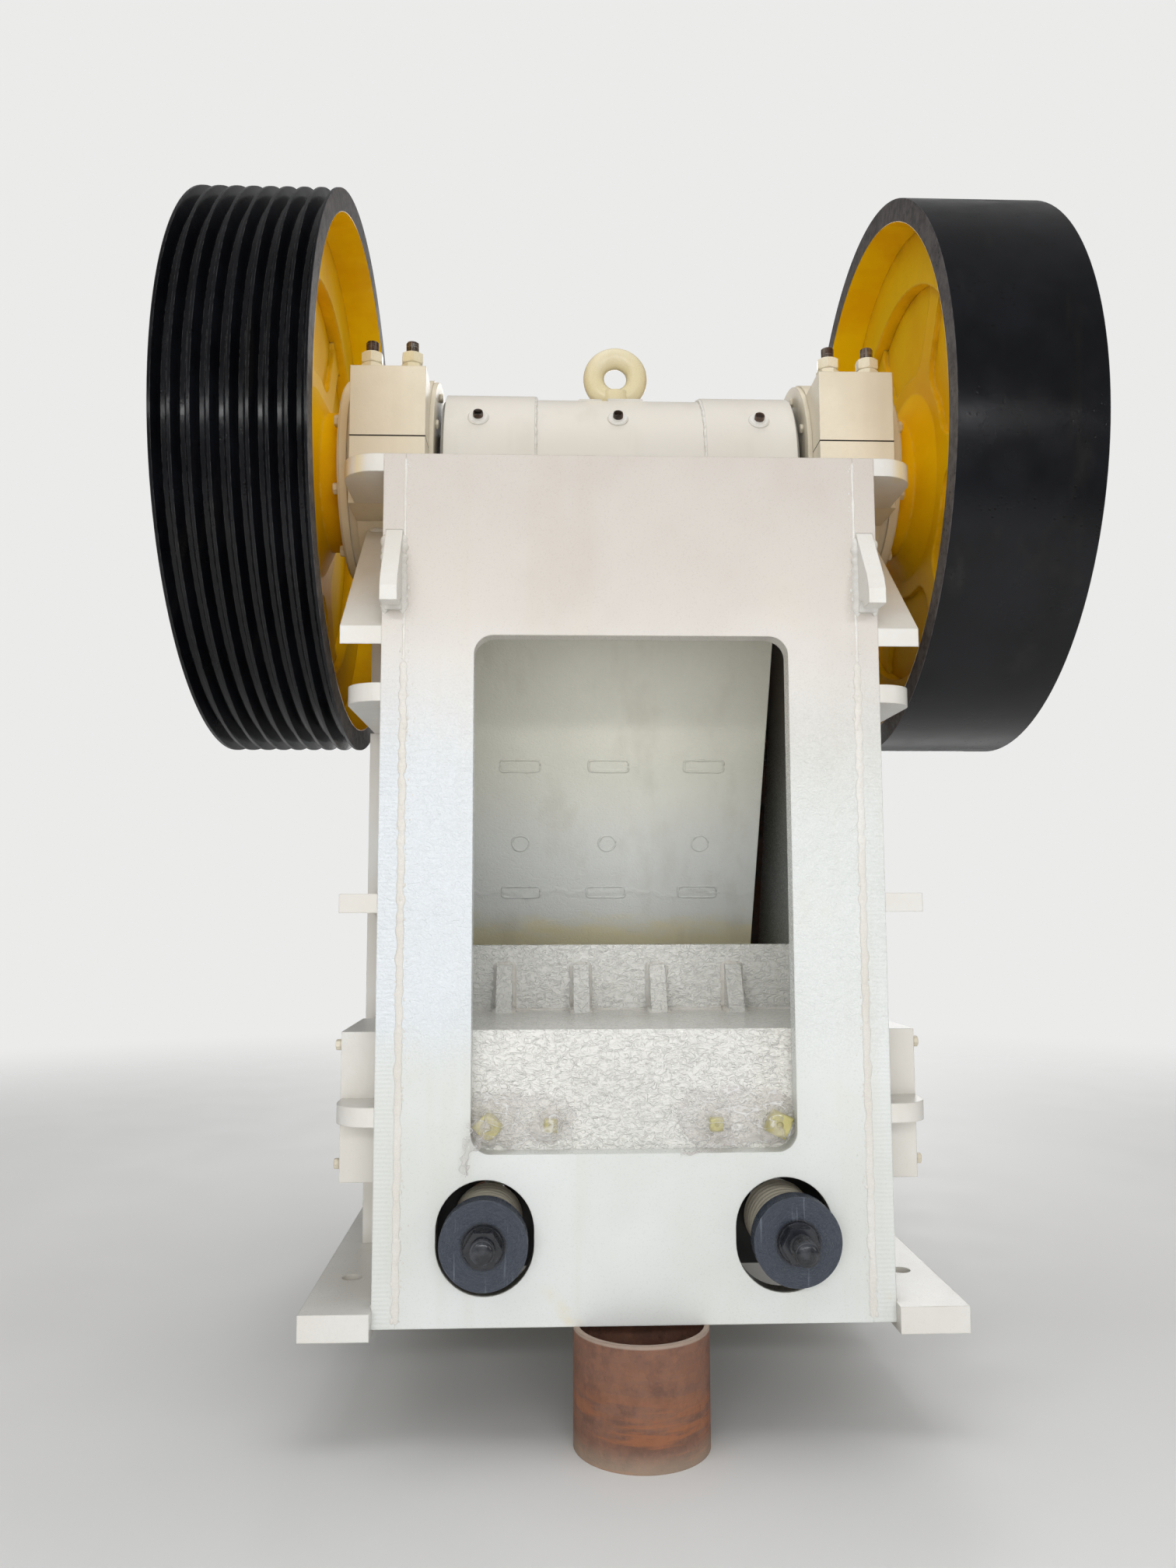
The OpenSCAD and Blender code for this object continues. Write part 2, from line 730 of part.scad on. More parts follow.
// Hook plates in line with the side plates, on the rear and front edges
module lifting_hooks() {
    color(cream) for (side = [-1, 1]) on_side(side) {
        hook_plate();
        translate([0, body_l, 0]) mirror([0, 1, 0]) hook_plate();
    }
}

// A hook plate's outline is a sloping rear edge with a round notch in its lower edge
module hook_plate() {
    inset = 8;
    top = body_h - hook_drop;
    low = top - hook_h;
    slab_x(side_x - hook_t - inset, side_x - inset) difference() {
        polygon([
            [0, top], [-hook_out * 0.89, top - hook_h * 0.67], [-hook_out, top - hook_h * 0.82],
            [-hook_out, low], [0, low]
        ]);
        translate([-hook_out / 3, low]) circle(r = hook_t / 2);
    }
}

// A cross plate under the beam that takes the thrust of the rod springs
module spring_seat() {
    hole_r = rod_r + 2 * throw_e + toggle_gap;
    low = rod_z - spring_seat_low;
    color(cream) difference() {
        translate([-inner_x, spring_seat_y, low]) cube([2 * inner_x, spring_seat_t, beam_low_z - low]);
        for (side = [-1, 1])
            bar_y(rod_x(side), rod_z + throw_e, spring_seat_y - eps,
                spring_seat_y + spring_seat_t + eps, hole_r);
    }
}

module pipe_stand(x, y) {
    color(rust) translate([x, y, -stand_h]) difference() {
        cylinder(r = stand_r, h = stand_h);
        translate([0, 0, -eps]) cylinder(r = stand_r - stand_wall, h = stand_h + 2 * eps);
    }
}

module eccentric_shaft() {
    end_x = hub_end_x + hub_inset / 2;
    past = 4;
    color(steel_light) union() {
        bar_x(-end_x, end_x, shaft_y, shaft_z, shaft_end_r);
        bar_x(past - hub_x, hub_x - past, shaft_y, shaft_z, journal_r);
        bar_x(-barrel_l / 2 - past, barrel_l / 2 + past, shaft_y, ecc_z, eccentric_r);
    }
}

// A unit vector at an angle
function dir(a) = [cos(a), sin(a)];

// Points of an arc round c from one angle to another
function arc(c, r, a0, a1, steps) = [for (i = [0 : steps]) c + r * dir(a0 + (a1 - a0) * i / steps)];

// The hollow between two spokes, with round corners at the hub's disc and at the web
module spoke_window(depth) {
    half = 180 / spokes;
    corner_out = 50;
    corner_in = 85;
    // The outer corners run a little past the spokes' ends, so that each end has a crisp edge
    past = 12;
    a_out = half - asin((spoke_w / 2 + corner_out) / (web_r - corner_out + past));
    a_in = half - asin((spoke_w / 2 + corner_in) / (disc_r + corner_in));
    c_out = (web_r - corner_out + past) * dir(a_out);
    c_in = (disc_r + corner_in) * dir(a_in);
    side = concat(
        arc(c_out, corner_out, a_out, half + 90, 6),
        arc(c_in, corner_in, half + 90, a_in + 180, 8)
    );
    mirrored = [for (i = [len(side) - 1 : -1 : 0]) [side[i][0], -side[i][1]]];
    translate([0, 0, -eps]) linear_extrude(depth + eps) polygon(concat(
        arc([0, 0], web_r + 3 * past, -a_out, a_out, 8), side, arc([0, 0], disc_r, a_in, -a_in, 4), mirrored
    ));
}

// The spokes and the hub, round the Z axis, with Z = 0 at the spokes' inner face
module spokes_and_hub(hub_low, hub_high) {
    fillet_r = hub_r + 75;
    fillet_h = 40;
    difference() {
        union() {
            cylinder(r = web_r - seat_gap, h = spoke_t, $fn = 128);
            translate([0, 0, hub_low]) cylinder(r = hub_r, h = hub_high - hub_low);
            translate([0, 0, -fillet_h]) cylinder(r1 = hub_r, r2 = fillet_r, h = fillet_h);
            translate([0, 0, spoke_t]) cylinder(r1 = fillet_r, r2 = hub_r, h = fillet_h);
        }
        for (i = [0 : spokes - 1]) rotate([0, 0, spoke_turn + (i + 0.5) * 360 / spokes])
            spoke_window(spoke_t - pan_t);
        translate([0, 0, hub_low - eps]) cylinder(r = shaft_end_r, h = hub_high - hub_low + 2 * eps);
    }
}

// Half section of the rim as (radius, distance from the wheel's inner face)
module rim_section(groove_count) {
    inner = wheel_r - rim_t;
    draft = 8;
    land = 8;
    pitch = (wheel_w - land) / max(groove_count, 1);
    // Each groove goes down, along its floor and up again, at these shares of the pitch
    grooves_pts = [for (i = [0 : 1 : groove_count - 1]) for (k = [0 : 3])
        [wheel_r - [0, groove_d, groove_d, 0][k], land + (i + [0, 0.27, 0.51, 0.83][k]) * pitch]];
    polygon(concat(
        [[inner, web_depth], [inner + draft, 0], [wheel_r, 0]], grooves_pts,
        [[wheel_r, wheel_w], [inner + draft, wheel_w], [inner, web_depth + web_t]]
    ));
}

// Puts a wheel's part, drawn round the Z axis, on the shaft with its Z = 0 at x
module on_shaft(side, x) {
    on_side(side) translate([x, shaft_y, shaft_z]) rotate([0, 90, 0]) children();
}

module wheel_rim(side, groove_count) {
    color(wheel_black) on_shaft(side, wheel_x) rotate_extrude($fn = 128) rim_section(groove_count);
}

module wheel_web(side) {
    color(cast_yellow) on_shaft(side, web_x) difference() {
        cylinder(r = wheel_r - rim_t, h = web_t, $fn = 128);
        translate([0, 0, -eps]) cylinder(r = web_r, h = web_t + 2 * eps, $fn = 128);
    }
}

module wheel_spokes(side) {
    color(cast_yellow) on_shaft(side, spoke_x) spokes_and_hub(hub_x - spoke_x, hub_end_x - spoke_x);
}

// Outline of the swing jaw's side: front plate, box and the part under the head
module jaw_outline() {
    head = [shaft_y, ecc_z];
    polygon([
        jp(-lip_out, -lip_h), jp(-lip_out, -seat_gap), jp(seat_gap_y, -seat_gap),
        jp(seat_gap_y, jaw_plate_l + slab_past),
        head + barrel_r * 0.97 * dir(65), head, head + barrel_r * 0.97 * dir(195),
        back(200), back(back_t(jaw_bottom[1])), jaw_bottom - [slab_t, 0]
    ]);
}

// Outline of the wide plate that the swing jaw's toothed plate is bolted to
module jaw_front_outline() {
    polygon([
        jp(-lip_out, -lip_h), jp(-lip_out, -seat_gap), jp(seat_gap_y, -seat_gap),
        jp(seat_gap_y, jaw_plate_l + slab_past), jp(-jaw_plate_t - slab_t, jaw_plate_l + slab_past),
        jp(-jaw_plate_t - slab_t, -lip_h)
    ]);
}

// A lug under the swing jaw for each tension rod
module rod_lug(x) {
    translate([x - rod_lug_w / 2, rod_front_y, rod_z - rod_lug_low])
        cube([rod_lug_w, rod_lug_w, jaw_bottom[1] - rod_z + rod_lug_low + eps]);
}

module jaw_body() {
    pocket_h = toggle_t + 2 * toggle_gap + 2 * throw_e;
    pocket_y = toggle_front_y + toggle_t / 2 + throw_e + toggle_gap;
    pocket_l = 2 * pocket_h;
    color(cream) difference() {
        union() {
            bar_x(-barrel_l / 2, barrel_l / 2, shaft_y, ecc_z, barrel_mid_r);
            for (side = [-1, 1]) on_side(side)
                bar_x(barrel_mid_l / 2, barrel_l / 2, shaft_y, ecc_z, barrel_r);
            slab_x(-jaw_w / 2, jaw_w / 2) jaw_outline();
            slab_x(-barrel_l / 2, barrel_l / 2) jaw_front_outline();
            for (side = [-1, 1]) rod_lug(rod_x(side));
        }
        bar_x(-barrel_l, barrel_l, shaft_y, ecc_z, eccentric_r + run_gap);
        translate([-jaw_w, pocket_y - pocket_l, toggle_front_z - toggle_t / 2 - toggle_gap - 2 * throw_e])
            cube([2 * jaw_w, pocket_l, pocket_h]);
    }
}

module jaw_end_rings() {
    ring_t = 9;
    color(cream) for (side = [-1, 1]) on_side(side) difference() {
        bar_x(barrel_l / 2, barrel_l / 2 + ring_t, shaft_y, ecc_z, barrel_mid_r - ring_t);
        bar_x(barrel_l / 2 - eps, barrel_l / 2 + ring_t + eps, shaft_y, ecc_z, eccentric_r + ring_t);
    }
}

// A round-section eye on the crown of the swing jaw's head
module lifting_eye() {
    crown = ecc_z + barrel_mid_r;
    neck_r = eye_bar_r * 1.4;
    neck_h = eye_rise - eye_r + eye_bar_r;
    color(cream) difference() {
        union() {
            translate([0, shaft_y, crown + eye_rise]) rotate([90, 0, 0])
                rotate_extrude() translate([eye_r, 0]) circle(r = eye_bar_r);
            translate([0, shaft_y, crown - neck_h / 4]) cylinder(r = neck_r, h = neck_h);
        }
        bar_x(-eye_r * 2, eye_r * 2, shaft_y, ecc_z, barrel_mid_r + run_gap);
    }
}

module tension_rod(side, past_cap) {
    color(steel_dark) union() {
        bar_y(rod_x(side), rod_z, -cap_gap - cap_t - past_cap, rod_front_y, rod_r);
        translate([rod_x(side), -cap_gap - cap_t, rod_z]) rotate([90, 0, 0])
            cylinder(r = rod_r * 1.62, h = rod_r * 1.3, $fn = 6);
    }
}

module spring_caps() {
    color(wheel_black) for (side = [-1, 1]) difference() {
        bar_y(rod_x(side), rod_z, -cap_gap - cap_t, -cap_gap, spring_cap_r);
        bar_y(rod_x(side), rod_z, -cap_gap - cap_t - eps, eps - cap_gap, rod_r);
    }
}

// Each spring is a stack of round rings joined by a thin sleeve, one closed body
module rod_springs() {
    length = spring_end_y + cap_gap;
    turns = 8;
    sleeve_t = 5;
    pitch = (length - 2 * spring_wire_r) / (turns - 1);
    color(cream) for (side = [-1, 1]) translate([rod_x(side), -cap_gap, rod_z]) rotate([-90, 0, 0])
        union() {
            difference() {
                cylinder(r = spring_r - spring_wire_r, h = length);
                translate([0, 0, -eps])
                    cylinder(r = spring_r - spring_wire_r - sleeve_t, h = length + 2 * eps);
            }
            for (i = [0 : turns - 1]) translate([0, 0, spring_wire_r + i * pitch])
                rotate_extrude() translate([spring_r - spring_wire_r, 0])
                    circle(r = spring_wire_r, $fn = 24);
        }
}

placed() side_plate(-1);  // side_plate_left
placed() side_plate(1);  // side_plate_right
placed() rear_wall();
placed() front_wall();
placed() front_ribs();
placed() front_uprights();
placed() side_ribs(-1);  // side_ribs_left
placed() side_ribs(1);  // side_ribs_right
placed() seat_braces(-1);  // seat_braces_left
placed() seat_braces(1);  // seat_braces_right
placed() foot(-1);  // foot_left
placed() foot(1);  // foot_right
placed() bearing_seat(-1);  // bearing_seat_left
placed() bearing_seat(1);  // bearing_seat_right
placed() bearing_cap(-1);  // bearing_cap_left
placed() bearing_cap(1);  // bearing_cap_right
placed() cap_studs();
placed() outer_covers();
placed() inner_covers();
placed() cheek_plates();
placed() fixed_jaw_plate();
placed() toggle_beam();
placed() toggle_block();
placed() toggle_plate();
placed() side_boxes();
placed() adjusting_bolts();
placed() lifting_hooks();
placed() spring_seat();
placed() pipe_stand(stand_rear_x, stand_rear_y);  // pipe_stand_rear
placed() {  // pipe_stand_front
    pipe_stand(-stand_gap / 2, body_l - stand_front_y);
    pipe_stand(stand_gap / 2, body_l - stand_front_y);
}
placed() eccentric_shaft();
placed() wheel_rim(-1, grooves);  // pulley_rim
placed() wheel_web(-1);  // pulley_web
placed() wheel_spokes(-1);  // pulley_spokes
placed() wheel_rim(1, 0);  // flywheel_rim
placed() wheel_web(1);  // flywheel_web
placed() wheel_spokes(1);  // flywheel_spokes
placed() jaw_body();
placed() jaw_end_rings();
placed() lifting_eye();
placed() movable_jaw_plate();
placed() tension_rod(-1, left_rod_past);  // tension_rod_left
placed() tension_rod(1, right_rod_past);  // tension_rod_right
placed() rod_springs();
placed() spring_caps();
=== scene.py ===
import math

import bpy
import numpy as np
from bpy.props import FloatProperty, FloatVectorProperty, IntProperty, PointerProperty
from mathutils import Matrix, Vector


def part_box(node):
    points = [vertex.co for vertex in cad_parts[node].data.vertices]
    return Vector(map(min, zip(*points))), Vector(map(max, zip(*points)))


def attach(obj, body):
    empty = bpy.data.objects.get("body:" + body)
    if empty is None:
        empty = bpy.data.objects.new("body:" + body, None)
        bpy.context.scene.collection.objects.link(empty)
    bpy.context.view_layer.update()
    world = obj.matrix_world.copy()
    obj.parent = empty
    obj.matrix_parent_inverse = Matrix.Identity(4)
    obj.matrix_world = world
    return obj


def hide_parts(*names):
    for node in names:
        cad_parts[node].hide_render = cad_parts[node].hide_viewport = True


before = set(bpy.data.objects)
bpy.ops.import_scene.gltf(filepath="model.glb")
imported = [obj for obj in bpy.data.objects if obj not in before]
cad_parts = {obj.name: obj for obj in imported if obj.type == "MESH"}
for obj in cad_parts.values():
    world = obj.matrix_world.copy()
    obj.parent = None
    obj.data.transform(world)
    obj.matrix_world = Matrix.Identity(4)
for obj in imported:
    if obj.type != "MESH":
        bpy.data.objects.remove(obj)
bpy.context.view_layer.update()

bl_info = {
    "name": "Jaw Crusher Finishes",
    "version": (1, 0, 0),
    "blender": (4, 5, 0),
    "location": "3D Viewport > Sidebar > Crusher",
    "description": "Paint, welds, fasteners, springs and film wraps of a jaw crusher, over its CAD nodes",
    "category": "Object",
}

FULL_TURN = 2 * math.pi
X, Y, Z = np.eye(3)

# Places that the CAD model gives, in metres
WALL_LOW, WALL_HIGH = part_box("rear_wall")
SIDE_LOW, SIDE_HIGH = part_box("side_plate_right")
BEAM_LOW, BEAM_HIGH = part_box("toggle_beam")
CAP_LOW, CAP_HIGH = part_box("spring_caps")
SPRING_LOW, SPRING_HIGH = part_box("rod_springs")
STUD_LOW, STUD_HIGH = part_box("cap_studs")
ADJUSTER_LOW, ADJUSTER_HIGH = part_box("adjusting_bolts")
COVER_LOW, COVER_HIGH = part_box("outer_covers")
BOX_LOW, BOX_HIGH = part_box("side_boxes")
HEAD_LOW, HEAD_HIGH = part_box("jaw_end_rings")
HOOK_LOW, HOOK_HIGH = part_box("lifting_hooks")
FOOT_LOW, FOOT_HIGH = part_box("foot_right")
RIM_LOW, RIM_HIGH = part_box("flywheel_rim")

SHAFT_Y = (COVER_LOW.y + COVER_HIGH.y) / 2
SHAFT_Z = (COVER_LOW.z + COVER_HIGH.z) / 2
HEAD_Z = (HEAD_LOW.z + HEAD_HIGH.z) / 2
ROD_LEFT, ROD_RIGHT = (
    (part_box(node)[0].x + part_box(node)[1].x) / 2 for node in ("tension_rod_left", "tension_rod_right")
)
ROD_Z = (CAP_LOW.z + CAP_HIGH.z) / 2
# The swing jaw's back leans from the vertical, this far from the shaft's axis
BACK_SLOPE, BACK_OFF = math.radians(27.3), 0.337
# Radii of the middle and the end parts of the swing jaw's head, and where they meet
HEAD_MIDDLE_R, HEAD_END_R, HEAD_MIDDLE_X = 0.263, 0.273, 0.2445
# Undersides and thickness of the level ribs on the side plates
RIB_LOWS, RIB = (0.732, 1.237, 1.754, 2.336), 0.046
# Top of the toggle beam, and the rear face of the plate that stands on it
BEAM_TOP, PLATE_FACE = 0.953, -0.356
# The middles of the adjusting bolts on each side, the large and the small one
LARGE_BOLT_X, SMALL_BOLT_X = 0.350, 0.200
NO_TRIANGLES = np.zeros((0, 3), int)


def linear(red, green, blue):
    """The linear colour of a screen colour given from 0 to 255"""
    share = np.array([red, green, blue]) / 255
    curve = np.where(share <= 0.04045, share / 12.92, ((share + 0.055) / 1.055) ** 2.4)
    return tuple(float(c) for c in curve)


def tint(name, description, colour):
    """A colour setting"""
    return FloatVectorProperty(
        name=name, description=description, subtype="COLOR", size=3, min=0, max=1, default=linear(*colour)
    )


def length(name, description, default):
    """A length setting in metres"""
    return FloatProperty(name=name, description=description, default=default, min=0, unit="LENGTH")


def share(name, description, default):
    """A setting from 0 to 1"""
    return FloatProperty(name=name, description=description, default=default, min=0, max=1, subtype="FACTOR")


class CrusherPaint(bpy.types.PropertyGroup):
    wall: tint("Wall cream", "Sprayed cream of the plate walls", (229, 228, 223))
    wall_shade: tint("Wall shade", "Warmer patches in the wall's cream", (221, 217, 209))
    casting: tint("Casting cream", "Cream of the housings and covers", (235, 227, 207))
    casting_shade: tint("Casting shade", "Dustier patches on the castings", (222, 213, 192))
    jaw: tint("Jaw back", "Greenish grey paint of the swing jaw's back", (238, 237, 224))
    jaw_head: tint("Jaw head", "Cream of the swing jaw's round head", (220, 215, 205))
    nut: tint("Nut cream", "Yellowish cream of the nuts on the bearing caps", (222, 211, 172))
    yellow: tint("Wheel yellow", "Yellow paint inside the wheels", (250, 206, 10))
    yellow_shade: tint("Wheel yellow shade", "Deeper patches in the yellow", (242, 188, 4))
    rim: tint("Rim black", "Black paint round the wheels", (9, 10, 13))
    rim_face: tint("Rim face grey", "Grey of the rims' flat sides", (92, 88, 88))
    cap: tint("Spring cap black", "Blue-black gloss of the spring caps", (60, 68, 82))
    rod: tint("Rod black", "Black gloss of the tension rods", (24, 26, 31))
    pipe: tint("Pipe rust", "Rust of the pipe stands", (116, 87, 75))
    zinc: tint("Zinc plate", "Yellowish plating of the adjusting bolts", (214, 208, 150))


class CrusherWelds(bpy.types.PropertyGroup):
    seam_width: length("Seam width", "Half width of the rear wall's seams", 0.009)
    seam_height: length("Seam height", "How far the seams stand out", 0.0016)
    drop_size: length("Drop size", "Radius of the largest drops along the seams", 0.0048)
    fillet_width: length("Fillet width", "Half width of the fillet beads", 0.0075)
    fillet_height: length("Fillet height", "How far the fillet beads stand out", 0.0055)
    ripple: length("Ripple", "Length of one ripple along a bead", 0.0075)
    step: length("Step", "Spacing of the points along a bead", 0.0035)


class CrusherFasteners(bpy.types.PropertyGroup):
    stud_nut: length("Stud nut", "Size across flats of the housings' nuts", 0.056)
    cover_bolt: length("Cover bolt", "Size across flats of the covers' bolts", 0.030)
    box_bolt: length("Box bolt", "Size across flats of the side boxes' bolts", 0.024)
    outer_adjuster: length("Outer adjuster", "Side of the large square bolt heads", 0.054)
    inner_adjuster: length("Inner adjuster", "Side of the small square bolt heads", 0.032)
    cover_bolts: IntProperty(name="Cover bolts", description="Bolts round each cover", default=8, min=4, max=12)
    spring_turns: FloatProperty(name="Spring turns", description="Turns of each rod spring", default=8, min=4, max=10)


class CrusherStage(bpy.types.PropertyGroup):
    floor: tint("Floor", "Pale studio floor", (235, 235, 234))
    sky: share("Sky light", "Strength of the even light from all round", 0.25)
    lamp_watts: FloatProperty(name="Lamp watts", description="Power of the lamps", default=335, min=0, unit="POWER")
    lens: FloatProperty(name="Lens", description="Focal length for a frame 36 mm high", default=27.5, min=10, max=120)


def unit(vectors):
    """The same vectors with length 1"""
    vectors = np.asarray(vectors, float)
    return vectors / np.linalg.norm(vectors, axis=-1, keepdims=True)


def across(axis):
    """Two directions square to an axis and to each other"""
    first = unit(np.cross(axis, Z if abs(axis[2]) < 0.9 else X))
    return first, np.cross(axis, first)


def whole_turn(count):
    """Angles spread evenly over a full turn"""
    return np.linspace(0, FULL_TURN, count, endpoint=False)


def spokes(axis, turn):
    """The directions e cos t + f sin t, where e and f are square to the axis and to each other"""
    first, second = across(axis)
    return first * np.cos(turn)[:, None] + second * np.sin(turn)[:, None]


def distance_along(path):
    """The distance of each point of a path from its start"""
    return np.concatenate([[0], np.cumsum(np.linalg.norm(np.diff(path, axis=0), axis=1))])


def straight_path(start, end, step):
    """Evenly spaced points p(u) = start + u (end - start), about step apart"""
    start, end = np.array(start, float), np.array(end, float)
    count = max(6, int(np.linalg.norm(end - start) / step) + 1)
    return start + np.linspace(0, 1, count)[:, None] * (end - start)


def arc_path(x, radius, start, end, step):
    """Points p(t) = c + radius (Y cos t + Z sin t) about the middle c of the jaw's head, from start to end degrees"""
    count = max(6, int(abs(end - start) / 360 * FULL_TURN * radius / step) + 1)
    turn = np.radians(np.linspace(start, end, count))[:, None]
    return np.array([x, SHAFT_Y, HEAD_Z]) + radius * (Y * np.cos(turn) + Z * np.sin(turn))


def wander(along, wave, rng):
    """A slow wobble between about -1 and 1: the mean of five sine waves of random length and phase"""
    waves = wave * rng.uniform(0.6, 1.9, 5)
    return 1.7 * np.sin(FULL_TURN * (along[:, None] / waves + rng.random(5))).mean(axis=1)


def grid_quads(rows, columns, closed_rows=False, closed_columns=True):
    """Quads between the points of a grid, numbered row by row, that may run on from its last row or column to its
    first"""
    row = np.arange(rows if closed_rows else rows - 1)[:, None]
    column = np.arange(columns if closed_columns else columns - 1)
    here, below, after = row * columns, (row + 1) % rows * columns, (column + 1) % columns
    return np.stack([here + column, here + after, below + after, below + column], axis=-1).reshape(-1, 4)


def tube_skin(rings):
    """Quads between neighbouring rings, each ring closed on itself, and a fan over the first and the last"""
    rows, columns = rings.shape[:2]
    points = np.vstack([rings.reshape(-1, 3), rings[0].mean(axis=0), rings[-1].mean(axis=0)])
    column = np.arange(columns)
    following = (column + 1) % columns
    last, middle = (rows - 1) * columns, np.full(columns, rows * columns)
    fans = np.vstack([
        np.stack([middle, following, column], axis=-1),
        np.stack([middle + 1, last + column, last + following], axis=-1),
    ])
    return outward((points, grid_quads(rows, columns), fans))


def ring_skin(rings):
    """Quads of a surface that closes both ways, such as a collar"""
    return outward((rings.reshape(-1, 3), grid_quads(*rings.shape[:2], closed_rows=True), NO_TRIANGLES))


def outward(shape):
    """The shape with its faces turned round if the volume inside them counts as negative"""
    points, quads, triangles = shape
    halves = np.vstack([quads[:, :3], quads[:, [0, 2, 3]], triangles]).astype(int)
    local = points - points.mean(axis=0)
    a, b, c = (local[halves[:, corner]] for corner in range(3))
    if (a * np.cross(b, c)).sum() < 0:
        return points, quads[:, ::-1], triangles[:, ::-1]
    return shape


def joined(shapes):
    """Several shapes as one, their faces numbered on"""
    starts = np.cumsum([0] + [len(points) for points, _, _ in shapes])
    return (
        np.vstack([points for points, _, _ in shapes]),
        np.vstack([quads + start for (_, quads, _), start in zip(shapes, starts)]),
        np.vstack([triangles + start for (_, _, triangles), start in zip(shapes, starts)]),
    )


def mirrored(shape):
    """The shape and its mirror image in the plane X = 0"""
    points, quads, triangles = shape
    return joined([shape, (points * [-1, 1, 1], quads[:, ::-1], triangles[:, ::-1])])


def weld_bead(path, out, width, height, ripple, seed, swell=0.16):
    """P(u, v) = path(u) + side w(u) cos v + out h(u, v) sin v.
    Both sizes wander along the bead and shrink like a half circle at its ends, h swells by a share once a ripple,
    and the underside is flattened to a third."""
    rng = np.random.default_rng(seed)
    along = distance_along(path)
    side = unit(np.cross(np.gradient(path, axis=0), out))
    turn = whole_turn(12)
    to_end = np.clip(np.minimum(along, along[-1] - along) / (2 * width), 0, 1)
    taper = np.maximum(np.sqrt(1 - (1 - to_end) ** 2), 0.04)
    half = width * taper * (1 + 0.22 * wander(along, 0.05, rng))
    tall = height * taper * (1 + 0.28 * wander(along, 0.024, rng))
    wave = 1 + swell * np.sin(FULL_TURN * (along[:, None] + 0.4 * width * np.sin(turn)) / ripple)
    lift = np.where(np.sin(turn) > 0, np.sin(turn), np.sin(turn) / 3)
    middle = path + side * (0.15 * width * wander(along, 0.09, rng))[:, None]
    rings = (
        middle[:, None]
        + side[:, None] * (half[:, None] * np.cos(turn))[..., None]
        + np.broadcast_to(out, path.shape)[:, None] * (tall[:, None] * lift * wave)[..., None]
    )
    return tube_skin(rings)


def paint_drops(path, out, reach, size, gap, seed):
    """P_i(u, v) = c_i + r_i cos v (side cos u + 1.6 along sin u) + h_i sin v out, a low dome for each drop i.
    The middles c_i lie along the path at random gaps, and scatter sideways within the reach."""
    rng = np.random.default_rng(seed)
    along = distance_along(path)
    spots = np.cumsum(gap * rng.gamma(1.3, 0.75, int(along[-1] / gap)))
    spots = spots[spots < along[-1]]
    count = len(spots)
    ahead = unit(path[-1] - path[0])
    side = unit(np.cross(ahead, out))
    middle = path[0] + spots[:, None] * ahead + (reach * rng.uniform(-1, 1, count) ** 3)[:, None] * side
    radius = size * rng.uniform(0.35, 1, count) ** 1.5
    turn = whole_turn(8)
    rise = np.radians([-20, 10, 40, 66])
    circle = side * np.cos(turn)[:, None] + 1.6 * ahead * np.sin(turn)[:, None]
    rings = (
        middle[:, None, None]
        + radius[:, None, None, None] * np.cos(rise)[:, None, None] * circle
        + 0.5 * radius[:, None, None, None] * np.sin(rise)[:, None, None] * out
    )
    lid = np.array([[0, 1, 2, 3], [0, 3, 4, 7], [4, 5, 6, 7]])
    faces = np.vstack([grid_quads(len(rise), 8), (len(rise) - 1) * 8 + lid, lid[:, ::-1]])
    starts = np.arange(count)[:, None, None] * len(rise) * 8
    return outward((rings.reshape(-1, 3), (faces + starts).reshape(-1, 4), NO_TRIANGLES))


def lathe(centre, axis, profile, sides=32, skin=tube_skin):
    """P(u, t) = centre + axis z(u) + r(u) (e cos t + f sin t), where profile holds rows of r, z.
    tube_skin closes both ends. ring_skin takes a profile that is a closed loop, and leaves a hole along the axis."""
    radius, height = np.array(profile, float).T[..., None, None]
    return skin(np.array(centre, float) + height * axis + radius * spokes(axis, whole_turn(sides)))


def flat_sided(centre, axis, sides, flats, height, turned_by=0, crown=()):
    """A nut or bolt head. r(z, t) is the smaller of the polygon's flats / (2 cos t), with t folded into one side,
    and of a cone that bevels the corners at both ends. crown holds more rings of r, z on the top."""
    count = sides * 6
    turn = np.arange(count) / count * FULL_TURN
    fold_and_highlight = np.mod(turn, FULL_TURN / sides) - math.pi / sides
    polygon = flats / 2 / np.cos(fold_and_highlight)
    corner = flats / 2 / math.cos(math.pi / sides)
    bevel = (corner - flats * 0.47) * 0.6
    level = np.array([0, bevel * 0.5, bevel, height - bevel, height - bevel * 0.66, height - bevel * 0.33, height])
    from_end = np.minimum(level, height - level)
    cone = corner - np.clip(bevel - from_end, 0, None) / 0.6
    radius = np.minimum(polygon, cone[:, None])
    for ring_radius, ring_height in crown:
        radius = np.vstack([radius, np.full(count, ring_radius)])
        level = np.append(level, ring_height)
    circle = spokes(axis, turn + turned_by)
    return tube_skin(np.array(centre, float) + level[:, None, None] * axis + radius[..., None] * circle)


def thread(start, axis, radius, length, pitch=0.004, sides=24):
    """A threaded end: P(z, t) with r = radius - depth |saw(z / pitch - t / 360)|, bevelled at the tip"""
    level = np.linspace(0, length, max(4, int(length / pitch * 4)))[:, None]
    turn = whole_turn(sides)
    saw = np.abs(np.mod(level / pitch - turn / FULL_TURN, 1) - 0.5) * 2
    bevel = np.clip((level - (length - 0.14 * radius)) / (0.14 * radius), 0, 1) * 0.14 * radius
    around = radius - pitch * 0.45 * saw - bevel
    return tube_skin(np.array(start, float) + level[..., None] * axis + around[..., None] * spokes(axis, turn))


